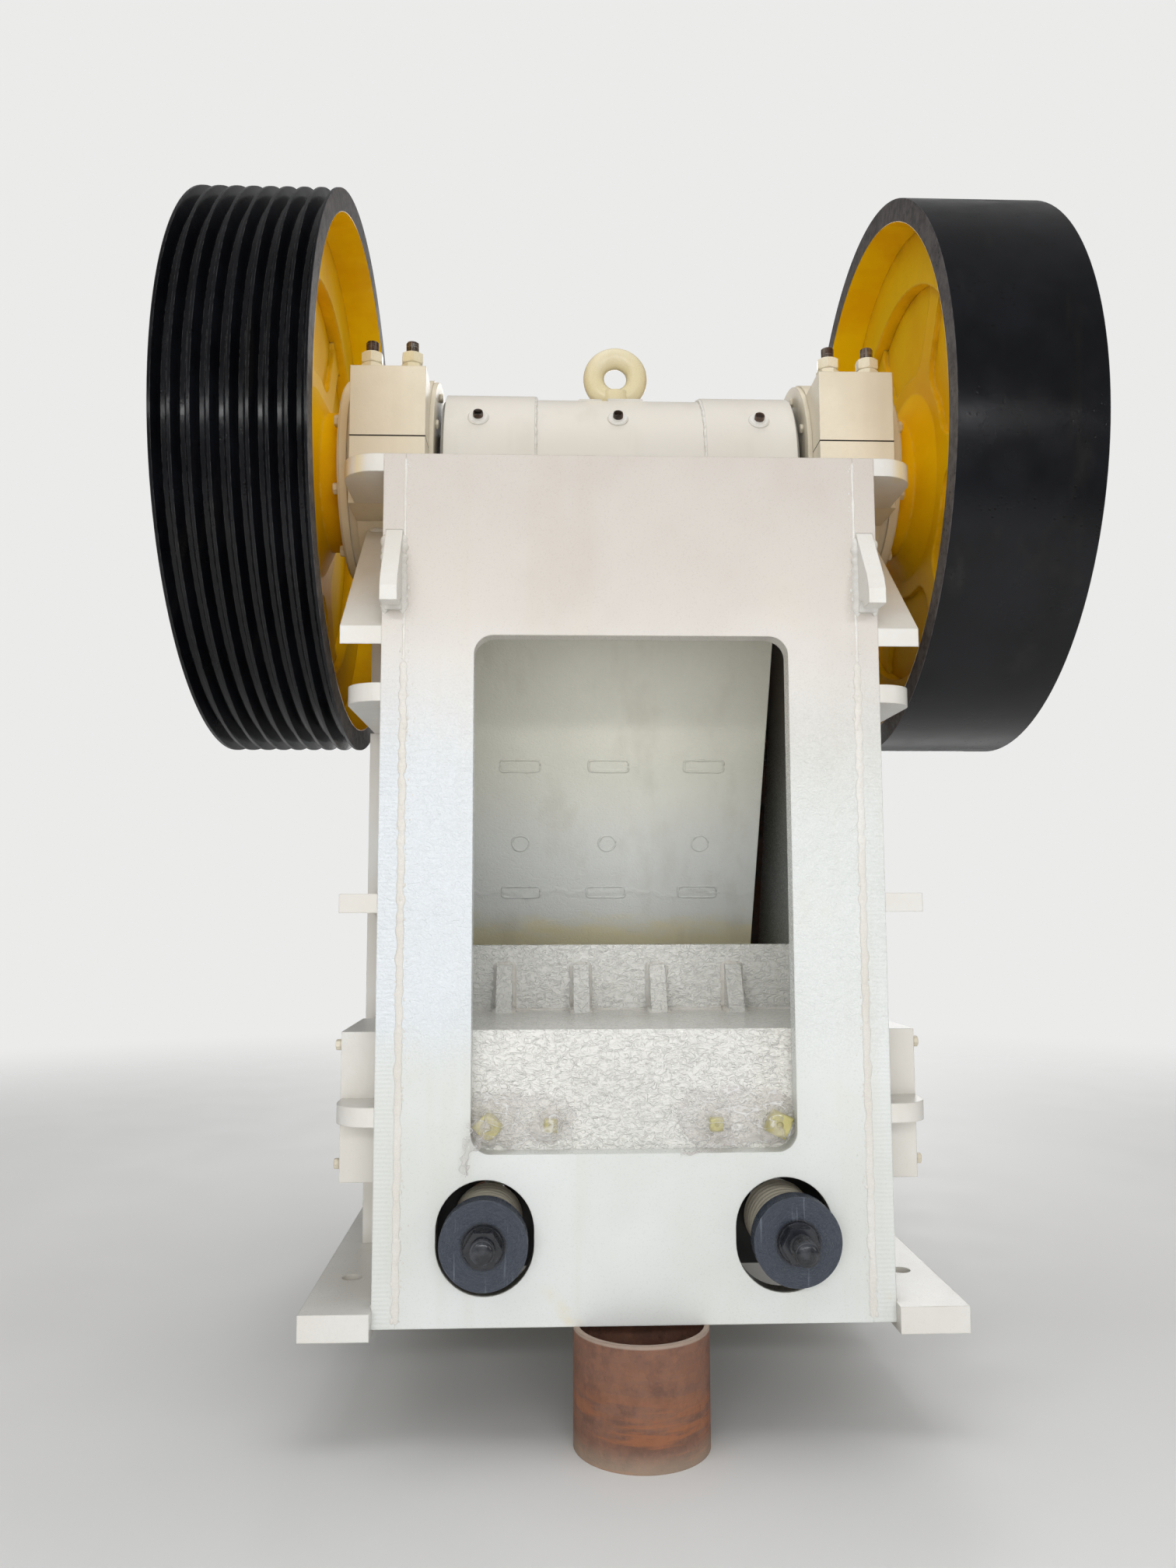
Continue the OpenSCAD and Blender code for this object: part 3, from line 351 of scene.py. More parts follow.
def coil_spring(start, axis, radius, wire, length, turns):
    """A round wire along the helix c(t) = start + axis z(t) + radius (e cos t + f sin t).
    z climbs by one wire's width a turn over the closed end turns and evenly between them."""
    turn = np.linspace(0, FULL_TURN * turns, int(turns * 36))
    inner = np.clip(np.minimum(turn, turn[-1] - turn) / FULL_TURN - 0.6, 0, 0.4) / 0.4
    closed = 2.02 * wire / FULL_TURN
    room = length - 2 * wire - closed * turn[-1]
    opened = room / float(((inner[1:] + inner[:-1]) / 2 * np.diff(turn)).sum())
    rate = closed + opened * inner
    climb = np.concatenate([[0], np.cumsum((rate[1:] + rate[:-1]) / 2 * np.diff(turn))]) + wire
    spoke = spokes(axis, turn)
    path = np.array(start, float) + climb[:, None] * axis + radius * spoke
    lean = unit(np.cross(np.gradient(path, axis=0), spoke))
    ring = whole_turn(12)[None, :, None]
    return tube_skin(path[:, None] + wire * (spoke[:, None] * np.cos(ring) + lean[:, None] * np.sin(ring)))


def pad_on_head(x_low, x_high, low, high, radius, thick):
    """A plate bent round the jaw's head: a rectangle with rounded corners carried along an arc about its axis"""
    corner = thick * 0.35
    arc = arc_path(0, radius, low, high, 0.004)
    out = unit(arc - [0, SHAFT_Y, HEAD_Z])
    outline = np.array([
        [x_low, -thick], [x_high, -thick], [x_high, thick - corner], [x_high - corner, thick],
        [x_low + corner, thick], [x_low, thick - corner],
    ])
    rings = arc[:, None] + X * outline[None, :, :1] + out[:, None] * outline[None, :, 1:]
    return tube_skin(rings)


def new_piece(name, shape, material="cream_weld_paint", body="frame", sharp=38):
    """Puts a shape into a mesh, smooth but for edges over the sharp angle, and lets it ride on its body"""
    points, quads, triangles = shape
    mesh = bpy.data.meshes.new(name)
    mesh.from_pydata(points.tolist(), [], quads.tolist() + triangles.tolist())
    mesh.polygons.foreach_set("use_smooth", np.ones(len(mesh.polygons), bool))
    mesh.set_sharp_from_angle(angle=math.radians(sharp))
    mesh.materials.append(bpy.data.materials[material])
    mesh.update()
    piece = bpy.data.objects.new(name, mesh)
    bpy.context.scene.collection.objects.link(piece)
    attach(piece, body)
    return piece


class Net:
    """A shader node tree, with short ways to add and link its nodes"""

    def __init__(self, tree):
        self.tree = tree

    def put(self, kind, inputs=None, **settings):
        """Adds a shader node, gives it its settings, and sets or links each named input"""
        node = self.tree.nodes.new("ShaderNode" + kind)
        for name, value in settings.items():
            setattr(node, name, value)
        for name, value in (inputs or {}).items():
            if isinstance(value, bpy.types.NodeSocket):
                self.tree.links.new(value, node.inputs[name])
            else:
                node.inputs[name].default_value = value
        return node

    def calc(self, operation, first, second=0.0, third=0.0):
        """A Math node's value"""
        return self.put("Math", {0: first, 1: second, 2: third}, operation=operation).outputs[0]

    def times(self, first, second):
        return self.calc("MULTIPLY", first, second)

    def scale_add(self, value, factor, base):
        """base plus the value times a factor"""
        return self.calc("MULTIPLY_ADD", value, factor, base)

    def length(self, first, second):
        """The root of the sum of two squares"""
        return self.calc("SQRT", self.calc("ADD", self.times(first, first), self.times(second, second)))

    def fade(self, value, low, high, start=0.0, end=1.0):
        """The value's smooth climb from start to end as it goes from low to high"""
        limits = {0: value, 1: low, 2: high, 3: start, 4: end}
        return self.put("MapRange", limits, interpolation_type="SMOOTHSTEP").outputs[0]

    def blend(self, mask, base, over):
        """base where the mask is 0 and over where it is 1; a plain colour is three linear numbers"""
        node = self.put("Mix", {0: mask}, data_type="RGBA")
        for number, colour in ((6, base), (7, over)):
            if isinstance(colour, bpy.types.NodeSocket):
                self.tree.links.new(colour, node.inputs[number])
            else:
                node.inputs[number].default_value = (*colour, 1)
        return node.outputs[2]

    def over(self, colour, mask, share, screen_colour):
        """The colour with a screen colour laid over it, by a share of the mask"""
        return self.blend(self.times(mask, share), colour, linear(*screen_colour))

    def place(self):
        """The object's own coordinates"""
        return self.put("TexCoord").outputs["Object"]

    def parts(self):
        """The object's own X, Y and Z"""
        return self.put("SeparateXYZ", {0: self.place()}).outputs

    def stretched(self, scale, turned_by=(0, 0, 0)):
        """Object coordinates scaled and turned by a Mapping node"""
        return self.put("Mapping", {"Vector": self.place(), "Scale": scale, "Rotation": turned_by}).outputs[0]

    def noise(self, scale, detail=3.0, rough=0.5, vector=None):
        """A Noise Texture's value, over the object's own coordinates unless others are given"""
        inputs = {"Vector": vector or self.place(), "Scale": scale, "Detail": detail, "Roughness": rough}
        return self.put("TexNoise", inputs).outputs[0]

    def use(self, name, **inputs):
        """Places an effect with its own values and gives its outputs"""
        node = self.tree.nodes.new("ShaderNodeGroup")
        node.node_tree = bpy.data.node_groups[name]
        for label, value in inputs.items():
            node.inputs[label].default_value = value
        return node.outputs

    def mask(self, name, **inputs):
        return self.use(name, **inputs)["Mask"]


class Effect(Net):
    """A new shader node group with named inputs and outputs"""

    def __init__(self, name, inputs, **outputs):
        tree = bpy.data.node_groups.new(name, "ShaderNodeTree")
        for label, value in inputs.items():
            tree.interface.new_socket(label, in_out="INPUT", socket_type="NodeSocketFloat").default_value = value
        for label, kind in outputs.items():
            tree.interface.new_socket(label, in_out="OUTPUT", socket_type="NodeSocket" + kind)
        super().__init__(tree)
        self.given = tree.nodes.new("NodeGroupInput").outputs
        self.wanted = tree.nodes.new("NodeGroupOutput").inputs

    def limited(self, value):
        """The value's smooth climb from the group's own Low to its High"""
        return self.fade(value, self.given["Low"], self.given["High"])

    def feed(self, **values):
        """Links values to the group's outputs"""
        for label, value in values.items():
            self.tree.links.new(value, self.wanted[label])


class Finish(Net):
    """A new material with a Principled shader"""

    def __init__(self, name):
        material = bpy.data.materials.new(name)
        material.use_nodes = True
        material.node_tree.nodes.clear()
        super().__init__(material.node_tree)
        self.shader = self.put("BsdfPrincipled")
        self.put("OutputMaterial", {"Surface": self.shader.outputs[0]})

    def link(self, **values):
        """Links values to the shader's inputs"""
        for label, value in values.items():
            self.tree.links.new(value, self.shader.inputs[label.replace("_", " ")])

    def worn(self, colour, radius, breakup, share, screen_colour):
        """The colour rubbed to another at the edges, and the normal that rounds them"""
        edges = self.use("worn_edges", Radius=radius, Breakup=breakup)
        return self.over(colour, edges["Mask"], share, screen_colour), edges["Normal"]

    def dress(self, colour, rough, height, depth, normal=None, **fixed):
        """Links colour, roughness and a bump to the shader, and sets its plain values"""
        self.link(Base_Color=colour, Roughness=rough)
        bump = self.put("Bump", {"Height": height, "Distance": depth, "Strength": 1.0})
        if normal is not None:
            self.tree.links.new(normal, bump.inputs["Normal"])
        self.link(Normal=bump.outputs[0])
        for name, value in fixed.items():
            self.shader.inputs[name.replace("_", " ")].default_value = value


def build_effects():
    """Makes the shader node groups that the finishes share"""
    net = Effect("hammered_skin", {"Grain": 160.0, "Swell": 26.0}, Height="Float")
    grain = net.noise(net.given["Grain"], 2.0, 0.55)
    swell = net.noise(net.given["Swell"], 3.0, 0.5)
    net.feed(Height=net.scale_add(grain, 0.45, swell))

    net = Effect("worn_edges", {"Radius": 0.004, "Breakup": 40.0}, Mask="Float", Normal="Vector")
    rounded = net.put("Bevel", {"Radius": net.given["Radius"]}, samples=4).outputs[0]
    true_normal = net.put("NewGeometry").outputs["Normal"]
    match = net.put("VectorMath", {0: rounded, 1: true_normal}, operation="DOT_PRODUCT").outputs["Value"]
    near = net.fade(match, 0.995, 0.90)
    broken = net.fade(net.noise(net.given["Breakup"], 4.0, 0.6), 0.40, 0.62)
    net.feed(Mask=net.times(near, broken), Normal=rounded)

    # Darker where the surface is shut in by nearby parts: painted shade in corners and hollows, broken up by noise
    # like settled dirt
    net = Effect("corner_shade_and_dirt", {"Reach": 0.08, "Breakup": 9.0}, Mask="Float")
    open_sky = net.put("AmbientOcclusion", {"Distance": net.given["Reach"]}, samples=4, only_local=False).outputs["AO"]
    shut_in_shade = net.fade(open_sky, 0.92, 0.25)
    broken = net.fade(net.noise(net.given["Breakup"], 5.0, 0.62, net.stretched((1, 1, 0.35))), 0.30, 0.72)
    net.feed(Mask=net.times(shut_in_shade, broken))

    net = Effect("soft_patches", {"Scale": 2.5, "Low": 0.36, "High": 0.66}, Mask="Float")
    value = net.noise(net.given["Scale"], 4.0, 0.55)
    net.feed(Mask=net.limited(value))

    net = Effect("run_marks", {"Scale": 7.0, "Low": 0.56, "High": 0.72}, Mask="Float")
    value = net.noise(net.given["Scale"], 3.0, 0.6, net.stretched((1, 1, 0.06)))
    net.feed(Mask=net.limited(value))

    net = Effect("hair_scratches", {"Scale": 5.0, "Low": 0.66, "High": 0.70}, Mask="Float")
    steep = net.noise(net.given["Scale"], 1.0, 0.5, net.stretched((1, 1, 42), (0.5, 0.9, 0.3)))
    level = net.noise(net.given["Scale"], 1.0, 0.5, net.stretched((40, 1, 1), (0.2, 0.4, 1.1)))
    ground = net.noise(3.0, 2.0, 0.5)
    lines = net.calc("MAXIMUM", net.limited(steep), net.limited(level))
    net.feed(Mask=net.times(lines, net.fade(ground, 0.48, 0.6)))

    net = Effect("cast_pits", {"Scale": 90.0, "Low": 0.30, "High": 0.12}, Mask="Float")
    inputs = {"Vector": net.place(), "Scale": net.given["Scale"], "Randomness": 1.0}
    cells = net.put("TexVoronoi", inputs, feature="F1").outputs["Distance"]
    some = net.fade(net.noise(22.0, 2.0, 0.5), 0.52, 0.60)
    net.feed(Mask=net.times(net.limited(cells), some))

    net = Effect("rust_bloom", {"Scale": 6.0, "Low": 0.45, "High": 0.62}, Mask="Float", Tone="Float")
    wide = net.noise(net.given["Scale"], 7.0, 0.68)
    fine = net.noise(85.0, 4.0, 0.7)
    net.feed(Mask=net.limited(net.scale_add(fine, 0.22, net.times(wide, 0.85))), Tone=fine)

    net = Effect("round_shaft", {"Height": SHAFT_Z}, Radius="Float")
    parts = net.parts()
    side = net.calc("SUBTRACT", parts[1], SHAFT_Y)
    up = net.calc("SUBTRACT", parts[2], net.given["Height"])
    net.feed(Radius=net.length(side, up))

    net = Effect("round_rod", {"Scale": 1.0}, Radius="Float", Brush="Float")
    parts = net.parts()
    on_right = net.calc("GREATER_THAN", parts[0], 0.0)
    side = net.calc("SUBTRACT", parts[0], net.scale_add(on_right, ROD_RIGHT - ROD_LEFT, ROD_LEFT))
    up = net.calc("SUBTRACT", parts[2], ROD_Z)
    radius = net.length(side, up)
    turn = net.calc("ARCTAN2", up, side)
    polar = net.put("CombineXYZ", {0: net.times(radius, 380.0), 1: net.times(turn, 3.0), 2: on_right})
    net.feed(Radius=radius, Brush=net.noise(net.given["Scale"], 3.0, 0.6, polar.outputs[0]))

    net = Effect("embossed_skin", {"Grain": 62.0, "Flow": 1.6}, Height="Float")
    bent = net.put("TexNoise", {
        "Vector": net.stretched((0.8, 0.8, 1.25)), "Scale": net.given["Grain"], "Detail": 1.5, "Roughness": 0.45,
        "Distortion": net.given["Flow"],
    }).outputs[0]
    ridge = net.calc("ABSOLUTE", net.scale_add(bent, 2.0, -1.0))
    fine = net.noise(210.0, 2.0, 0.5)
    net.feed(Height=net.scale_add(fine, 0.25, net.fade(ridge, 0.0, 0.42, 1.0, 0.0)))


def sprayed_paint(
    name, main, shade, gloss, grain, depth, shade_and_dirt=0.5, wear=(0.55, 0.5, 0.43), wear_share=0.35, radius=0.004,
    shade_and_soil=(118, 104, 84), stain=(190, 176, 148), embossed=0.0, parting=None, corner=None, shine=0.5,
):
    """Gloss paint over plate or casting: two tones in patches, painted shade tinted like soil in shut-in corners,
    runs, rubbed edges, hammered skin. parting is the height of a dark joint line, and corner the colour of a stain on
    the ribs' rear corners. The soil tint of the painted shade, and stain, are screen colours, and the others are
    linear."""
    net = Finish(name)
    parts = net.parts()
    patches = net.mask("soft_patches", Scale=2.3)
    colour = net.blend(patches, main, shade)
    mottle = net.fade(net.noise(75.0, 5.0, 0.72), 0.42, 0.66)
    colour = net.blend(net.times(mottle, 0.22), colour, shade)
    runs = net.mask("run_marks", Scale=6.0)
    colour = net.over(colour, runs, 0.14, stain)
    # Painted shade in shut-in corners, tinted like soil
    shade_and_dirt_mask = net.mask("corner_shade_and_dirt", Reach=0.06)
    colour = net.over(colour, shade_and_dirt_mask, shade_and_dirt, shade_and_soil)
    if corner is not None:
        outer = net.fade(net.calc("ABSOLUTE", parts[0]), 0.655, 0.700)
        at_rear = net.fade(parts[1], WALL_LOW.y + 0.06, WALL_LOW.y + 0.01)
        behind = net.times(at_rear, net.fade(parts[2], 2.2, 2.3))
        bands = net.fade(net.noise(2.0, 2.0, 0.5, net.stretched((14, 14, 1))), 0.35, 0.6)
        mask = net.times(net.times(outer, behind), net.times(bands, 0.6))
        colour = net.blend(mask, colour, corner)
    edges = net.use("worn_edges", Radius=radius, Breakup=30.0)
    colour = net.blend(net.times(edges["Mask"], wear_share), colour, wear)
    skin = net.use("hammered_skin", Grain=grain, Swell=grain / 6)["Height"]
    if embossed > 0:
        skin = net.scale_add(net.use("embossed_skin")["Height"], embossed, skin)
    if parting is not None:
        joint = net.fade(net.calc("ABSOLUTE", net.calc("SUBTRACT", parts[2], parting)), 0.0022, 0.0012)
        colour = net.blend(joint, colour, linear(38, 34, 32))
        skin = net.scale_add(joint, -3.0, skin)
    fine = net.noise(310.0, 2.0, 0.5)
    rough = net.fade(fine, 0.3, 0.7, gloss - 0.07, gloss + 0.09)
    rough = net.calc("ADD", rough, net.times(shade_and_dirt_mask, 0.25))
    coat = shine * 0.24
    net.dress(
        colour, rough, skin, depth, edges["Normal"], Specular_IOR_Level=shine, Coat_Weight=coat, Coat_Roughness=0.18,
    )


def wall_paint():
    """The walls' cream: smooth low down and high up, embossed, glossy and with a painted bluish sky reflection beside
    the window, rough at the seams, with fine level lines between each seam and the edge, and painted black shade
    inside the rod holes"""
    net = Finish("cream_wall_paint")
    parts = net.parts()
    beside = net.calc("ABSOLUTE", parts[0])
    seam_x = WALL_HIGH.x
    near_seam = net.fade(net.calc("ABSOLUTE", net.calc("SUBTRACT", beside, seam_x - 0.006)), 0.034, 0.006)
    high_up = net.fade(parts[2], 1.35, 2.1)
    midway = net.times(net.fade(parts[2], 0.82, 1.0), net.fade(parts[2], 1.95, 1.5))
    patches = net.mask("soft_patches", Scale=1.7)
    low = net.blend(patches, linear(226, 229, 227), linear(217, 220, 215))
    high = net.blend(patches, linear(211, 204, 196), linear(203, 194, 185))
    colour = net.blend(high_up, low, high)
    # A painted reflection of the bluish sky, beside the window
    painted_sky_tint = net.times(midway, net.fade(parts[0], 0.3, -0.5, 0.0, 0.7))
    colour = net.blend(painted_sky_tint, colour, linear(226, 232, 239))
    runs = net.mask("run_marks", Scale=9.0)
    colour = net.over(colour, runs, 0.12, (202, 192, 170))
    cloud = net.mask("soft_patches", Scale=4.5, Low=0.60, High=0.74)
    at_edge = net.calc("MAXIMUM", net.fade(parts[2], 0.40, 0.29), net.fade(parts[2], 2.30, 2.375))
    stain = net.times(cloud, net.scale_add(at_edge, 0.5, 0.05))
    colour = net.blend(stain, colour, linear(226, 206, 150))
    # Painted shade in shut-in corners, tinted like soil
    shade_and_dirt_mask = net.mask("corner_shade_and_dirt", Reach=0.05)
    colour = net.over(colour, shade_and_dirt_mask, 0.3, (140, 128, 106))
    specks = net.fade(net.noise(170.0, 4.0, 0.7), 0.62, 0.70)
    speckled = net.times(net.times(specks, near_seam), 0.45)
    colour = net.blend(speckled, colour, linear(172, 164, 146))
    colour, normal = net.worn(colour, 0.004, 26.0, 0.3, (240, 236, 222))
    # Painted black shade on the walls of the rod holes
    in_wall = net.fade(parts[1], WALL_LOW.y + 0.003, WALL_LOW.y + 0.012)
    in_wall = net.times(in_wall, net.fade(beside, 0.56, 0.55))
    hole_shade = net.times(in_wall, net.fade(parts[2], 0.650, 0.635))
    colour = net.over(colour, hole_shade, 0.94, (30, 29, 28))
    skin = net.use("hammered_skin", Grain=120.0, Swell=22.0)["Height"]
    embossed = net.use("embossed_skin", Grain=58.0)["Height"]
    coarse = net.noise(70.0, 3.0, 0.6)
    level = net.put("TexWave", {
        "Vector": net.place(), "Scale": 31.0, "Distortion": 1.2, "Detail": 2.0, "Detail Scale": 0.5,
    }, bands_direction="Z").outputs[1]
    outside = net.fade(beside, seam_x + 0.008, seam_x + 0.016)
    at_rear = net.fade(parts[1], WALL_LOW.y + 0.004, WALL_LOW.y + 0.001)
    rippled = net.times(net.times(outside, at_rear), net.fade(parts[2], 1.9, 1.7, 0.0, 0.5))
    height = net.times(skin, net.fade(midway, 0, 1, 0.35, 0.6))
    height = net.scale_add(net.times(midway, 0.85), embossed, height)
    height = net.scale_add(net.times(near_seam, 1.1), coarse, height)
    height = net.scale_add(rippled, level, height)
    fine = net.noise(260.0, 2.0, 0.5)
    rough = net.calc("ADD", net.fade(fine, 0.3, 0.7, 0.26, 0.42), net.times(midway, -0.1))
    net.dress(colour, rough, height, 0.0009, normal, Coat_Weight=0.15, Coat_Roughness=0.15)


def jaw_paint(paint):
    """The swing jaw's paint: greenish grey and embossed on its back, with a painted light band on its lower back,
    stained yellowish above the toggle beam, cream round its head"""
    net = Finish("jaw_back_paint")
    parts = net.parts()
    radius = net.use("round_shaft", Height=HEAD_Z)["Radius"]
    on_head = net.fade(radius, 0.30, 0.275)
    patches = net.mask("soft_patches", Scale=2.0)
    back = net.blend(patches, paint.jaw, linear(230, 229, 216))
    head = net.blend(patches, paint.jaw_head, paint.wall_shade)
    # A painted light band that lightens the lower back, which lies in shade
    painted_light_band = net.times(net.fade(parts[2], 1.75, 1.35), net.fade(parts[2], 1.16, 1.26))
    back = net.over(back, painted_light_band, 0.6, (238, 242, 244))
    cloud = net.noise(7.0, 3.0, 0.55, net.stretched((1, 1, 3)))
    wet = net.scale_add(cloud, 0.16, parts[2])
    stained = net.times(net.fade(wet, 1.310, 1.225), 0.7)
    back = net.blend(stained, back, linear(240, 228, 180))
    colour = net.blend(on_head, back, head)
    runs = net.mask("run_marks", Scale=8.0, Low=0.5, High=0.75)
    colour = net.over(colour, runs, 0.16, (172, 164, 142))
    # Painted shade in shut-in corners, tinted like soil
    shade_and_dirt_mask = net.mask("corner_shade_and_dirt", Reach=0.05)
    colour = net.over(colour, shade_and_dirt_mask, 0.15, (120, 110, 92))
    normal = net.use("worn_edges", Radius=0.004, Breakup=30.0)["Normal"]
    skin = net.use("hammered_skin", Grain=95.0, Swell=16.0)["Height"]
    embossed = net.use("embossed_skin", Grain=70.0)["Height"]
    below = net.calc("SUBTRACT", 1.0, on_head)
    height = net.scale_add(net.times(below, 0.7), embossed, skin)
    seam = net.scale_add(net.noise(9.0, 2.0, 0.5, net.stretched((1, 0, 0))), 0.10, parts[2])
    beads = net.fade(net.calc("ABSOLUTE", net.calc("SUBTRACT", seam, 1.345)), 0.012, 0.002)
    beads = net.times(beads, below)
    height = net.scale_add(beads, 1.3, height)
    rough = net.fade(net.noise(200.0, 2.0, 0.5), 0.3, 0.7, 0.28, 0.44)
    net.dress(colour, rough, height, 0.0008, normal, Coat_Weight=0.12, Coat_Roughness=0.2)


def rim_paint(paint):
    """A wheel's rim: satin black with a few pits on the tread, grey on its flat sides, yellow on its inner wall"""
    net = Finish("wheel_rim_paint")
    parts = net.parts()
    radius = net.use("round_shaft")["Radius"]
    inside = net.fade(radius, 0.7475, 0.7455)
    from_side = net.calc("MINIMUM", *(
        net.calc("ABSOLUTE", net.calc("SUBTRACT", net.calc("ABSOLUTE", parts[0]), face))
        for face in (RIM_LOW.x, RIM_HIGH.x)
    ))
    on_side = net.times(net.fade(from_side, 0.0016, 0.0006), net.fade(radius, 0.7462, 0.7476))
    pits = net.mask("cast_pits", Scale=70.0)
    patches = net.mask("soft_patches", Scale=5.0)
    black = net.blend(patches, paint.rim, linear(18, 19, 23))
    dust = net.mask("run_marks", Scale=12.0, Low=0.55, High=0.85)
    black = net.over(black, dust, 0.05, (120, 112, 98))
    mottle = net.fade(net.noise(42.0, 5.0, 0.7), 0.40, 0.62)
    grey = net.blend(mottle, paint.rim_face, linear(66, 63, 64))
    black = net.blend(on_side, black, grey)
    black = net.blend(pits, black, linear(6, 6, 7))
    yellow = net.blend(patches, paint.yellow, paint.yellow_shade)
    colour = net.blend(inside, black, yellow)
    colour, normal = net.worn(colour, 0.0025, 45.0, 0.25, (132, 130, 130))
    skin = net.use("hammered_skin", Grain=110.0, Swell=9.0)["Height"]
    height = net.calc("SUBTRACT", skin, net.times(pits, 0.8))
    scuffs = net.mask("soft_patches", Scale=3.5, Low=0.35, High=0.65)
    fine = net.fade(net.noise(12.0, 3.0, 0.5), 0.3, 0.7, 0.12, 0.22)
    rough = net.scale_add(scuffs, 0.08, net.scale_add(on_side, 0.35, fine))
    net.dress(colour, rough, height, 0.0003, normal, Specular_IOR_Level=0.3)


def cap_paint(paint):
    """The spring caps' blue-black gloss with marks round the rod, a leathery skin, thin runs and a worn edge"""
    net = Finish("black_cap_paint")
    rod = net.use("round_rod", Scale=1.0)
    brush = net.fade(rod["Brush"], 0.35, 0.68)
    skin = net.use("embossed_skin", Grain=150.0, Flow=2.4)["Height"]
    colour = net.blend(net.times(brush, 0.25), paint.cap, linear(84, 92, 104))
    colour = net.over(colour, skin, 0.3, (36, 40, 48))
    runs = net.mask("run_marks", Scale=60.0, Low=0.64, High=0.70)
    colour = net.over(colour, runs, 0.5, (118, 126, 138))
    wet = net.fade(rod["Radius"], 0.058, 0.046)
    colour = net.blend(wet, colour, linear(14, 15, 18))
    colour, normal = net.worn(colour, 0.003, 60.0, 0.35, (150, 156, 160))
    height = net.scale_add(runs, 1.2, net.scale_add(rod["Brush"], 0.3, skin))
    rough = net.fade(rod["Brush"], 0.3, 0.7, 0.18, 0.32)
    net.dress(colour, rough, height, 0.0006, normal, Coat_Weight=0.35, Coat_Roughness=0.08)


def rod_gloss(paint):
    """Thick black gloss over the rods and their nuts, greyish where the ends are rubbed bare"""
    net = Finish("black_rod_paint")
    depth = net.parts()[1]
    patches = net.mask("soft_patches", Scale=14.0, Low=0.4, High=0.6)
    colour = net.blend(patches, paint.rod, linear(40, 42, 48))
    rubbed = net.times(net.fade(depth, CAP_LOW.y - 0.035, CAP_LOW.y - 0.05), patches)
    colour = net.over(colour, rubbed, 0.35, (92, 96, 102))
    colour, normal = net.worn(colour, 0.002, 60.0, 0.3, (120, 124, 130))
    lumps = net.noise(60.0, 2.0, 0.5)
    rough = net.fade(net.noise(60.0, 2.0, 0.5), 0.3, 0.7, 0.14, 0.30)
    net.dress(colour, rough, lumps, 0.0005, normal, Coat_Weight=0.4, Coat_Roughness=0.08)


def bare_metal(name, light, dark, rough_low, rough_high, rust=0.0, metallic=1.0, lathe=0.0, depth=0.0003):
    """Steel or iron: light and dark patches, fine scratches, some rust, and rings left by the lathe"""
    net = Finish(name)
    patches = net.mask("soft_patches", Scale=9.0)
    colour = net.blend(patches, light, dark)
    lines = net.mask("hair_scratches", Scale=9.0, Low=0.58, High=0.64)
    colour = net.over(colour, lines, 0.5, (210, 208, 202))
    bloom = net.use("rust_bloom", Scale=7.0)
    rusted = net.times(bloom["Mask"], rust)
    tone = net.blend(bloom["Tone"], linear(92, 50, 28), linear(140, 84, 48))
    colour = net.blend(rusted, colour, tone)
    colour, normal = net.worn(colour, 0.002, 80.0, 0.4, (200, 198, 190))
    rings = net.noise(1.0, 2.0, 0.5, net.stretched((600, 2, 2)))
    height = net.scale_add(rings, lathe, net.noise(240.0, 3.0, 0.6))
    rough = net.calc("ADD", net.fade(patches, 0, 1, rough_low, rough_high), net.times(rusted, 0.3))
    net.dress(colour, rough, height, depth, normal)
    net.link(Metallic=net.times(net.calc("SUBTRACT", 1.0, rusted), metallic))


def rusty_pipe(paint):
    """Old pipe: brown rust in scales, darker mill skin between them, pale dust low down"""
    net = Finish("rusty_pipe")
    bloom = net.use("rust_bloom", Scale=9.0, Low=0.42, High=0.60)
    old = net.blend(bloom["Tone"], linear(102, 72, 60), linear(122, 90, 76))
    fresh = net.blend(bloom["Tone"], paint.pipe, linear(146, 104, 82))
    colour = net.blend(bloom["Mask"], old, fresh)
    scales = net.mask("soft_patches", Scale=26.0, Low=0.46, High=0.58)
    colour = net.over(colour, scales, 0.12, (70, 54, 50))
    height = net.parts()[2]
    bands = net.fade(net.noise(5.0, 4.0, 0.6, net.stretched((1, 1, 9))), 0.46, 0.60)
    low_bands = net.times(bands, net.fade(height, 0.19, 0.09, 0.1, 0.6))
    colour = net.blend(low_bands, colour, linear(164, 104, 68))
    lip = net.fade(height, WALL_LOW.z - 0.009, WALL_LOW.z - 0.005, 0.0, 0.6)
    colour = net.blend(lip, colour, linear(186, 172, 158))
    dusty = net.times(net.fade(height, 0.06, 0.0), 0.5)
    colour = net.blend(dusty, colour, linear(176, 164, 146))
    colour, normal = net.worn(colour, 0.003, 60.0, 0.5, (150, 122, 104))
    bumps = net.scale_add(scales, 0.8, net.noise(150.0, 5.0, 0.7))
    rough = net.fade(bloom["Tone"], 0.3, 0.7, 0.72, 0.92)
    net.dress(colour, rough, bumps, 0.0012, normal)


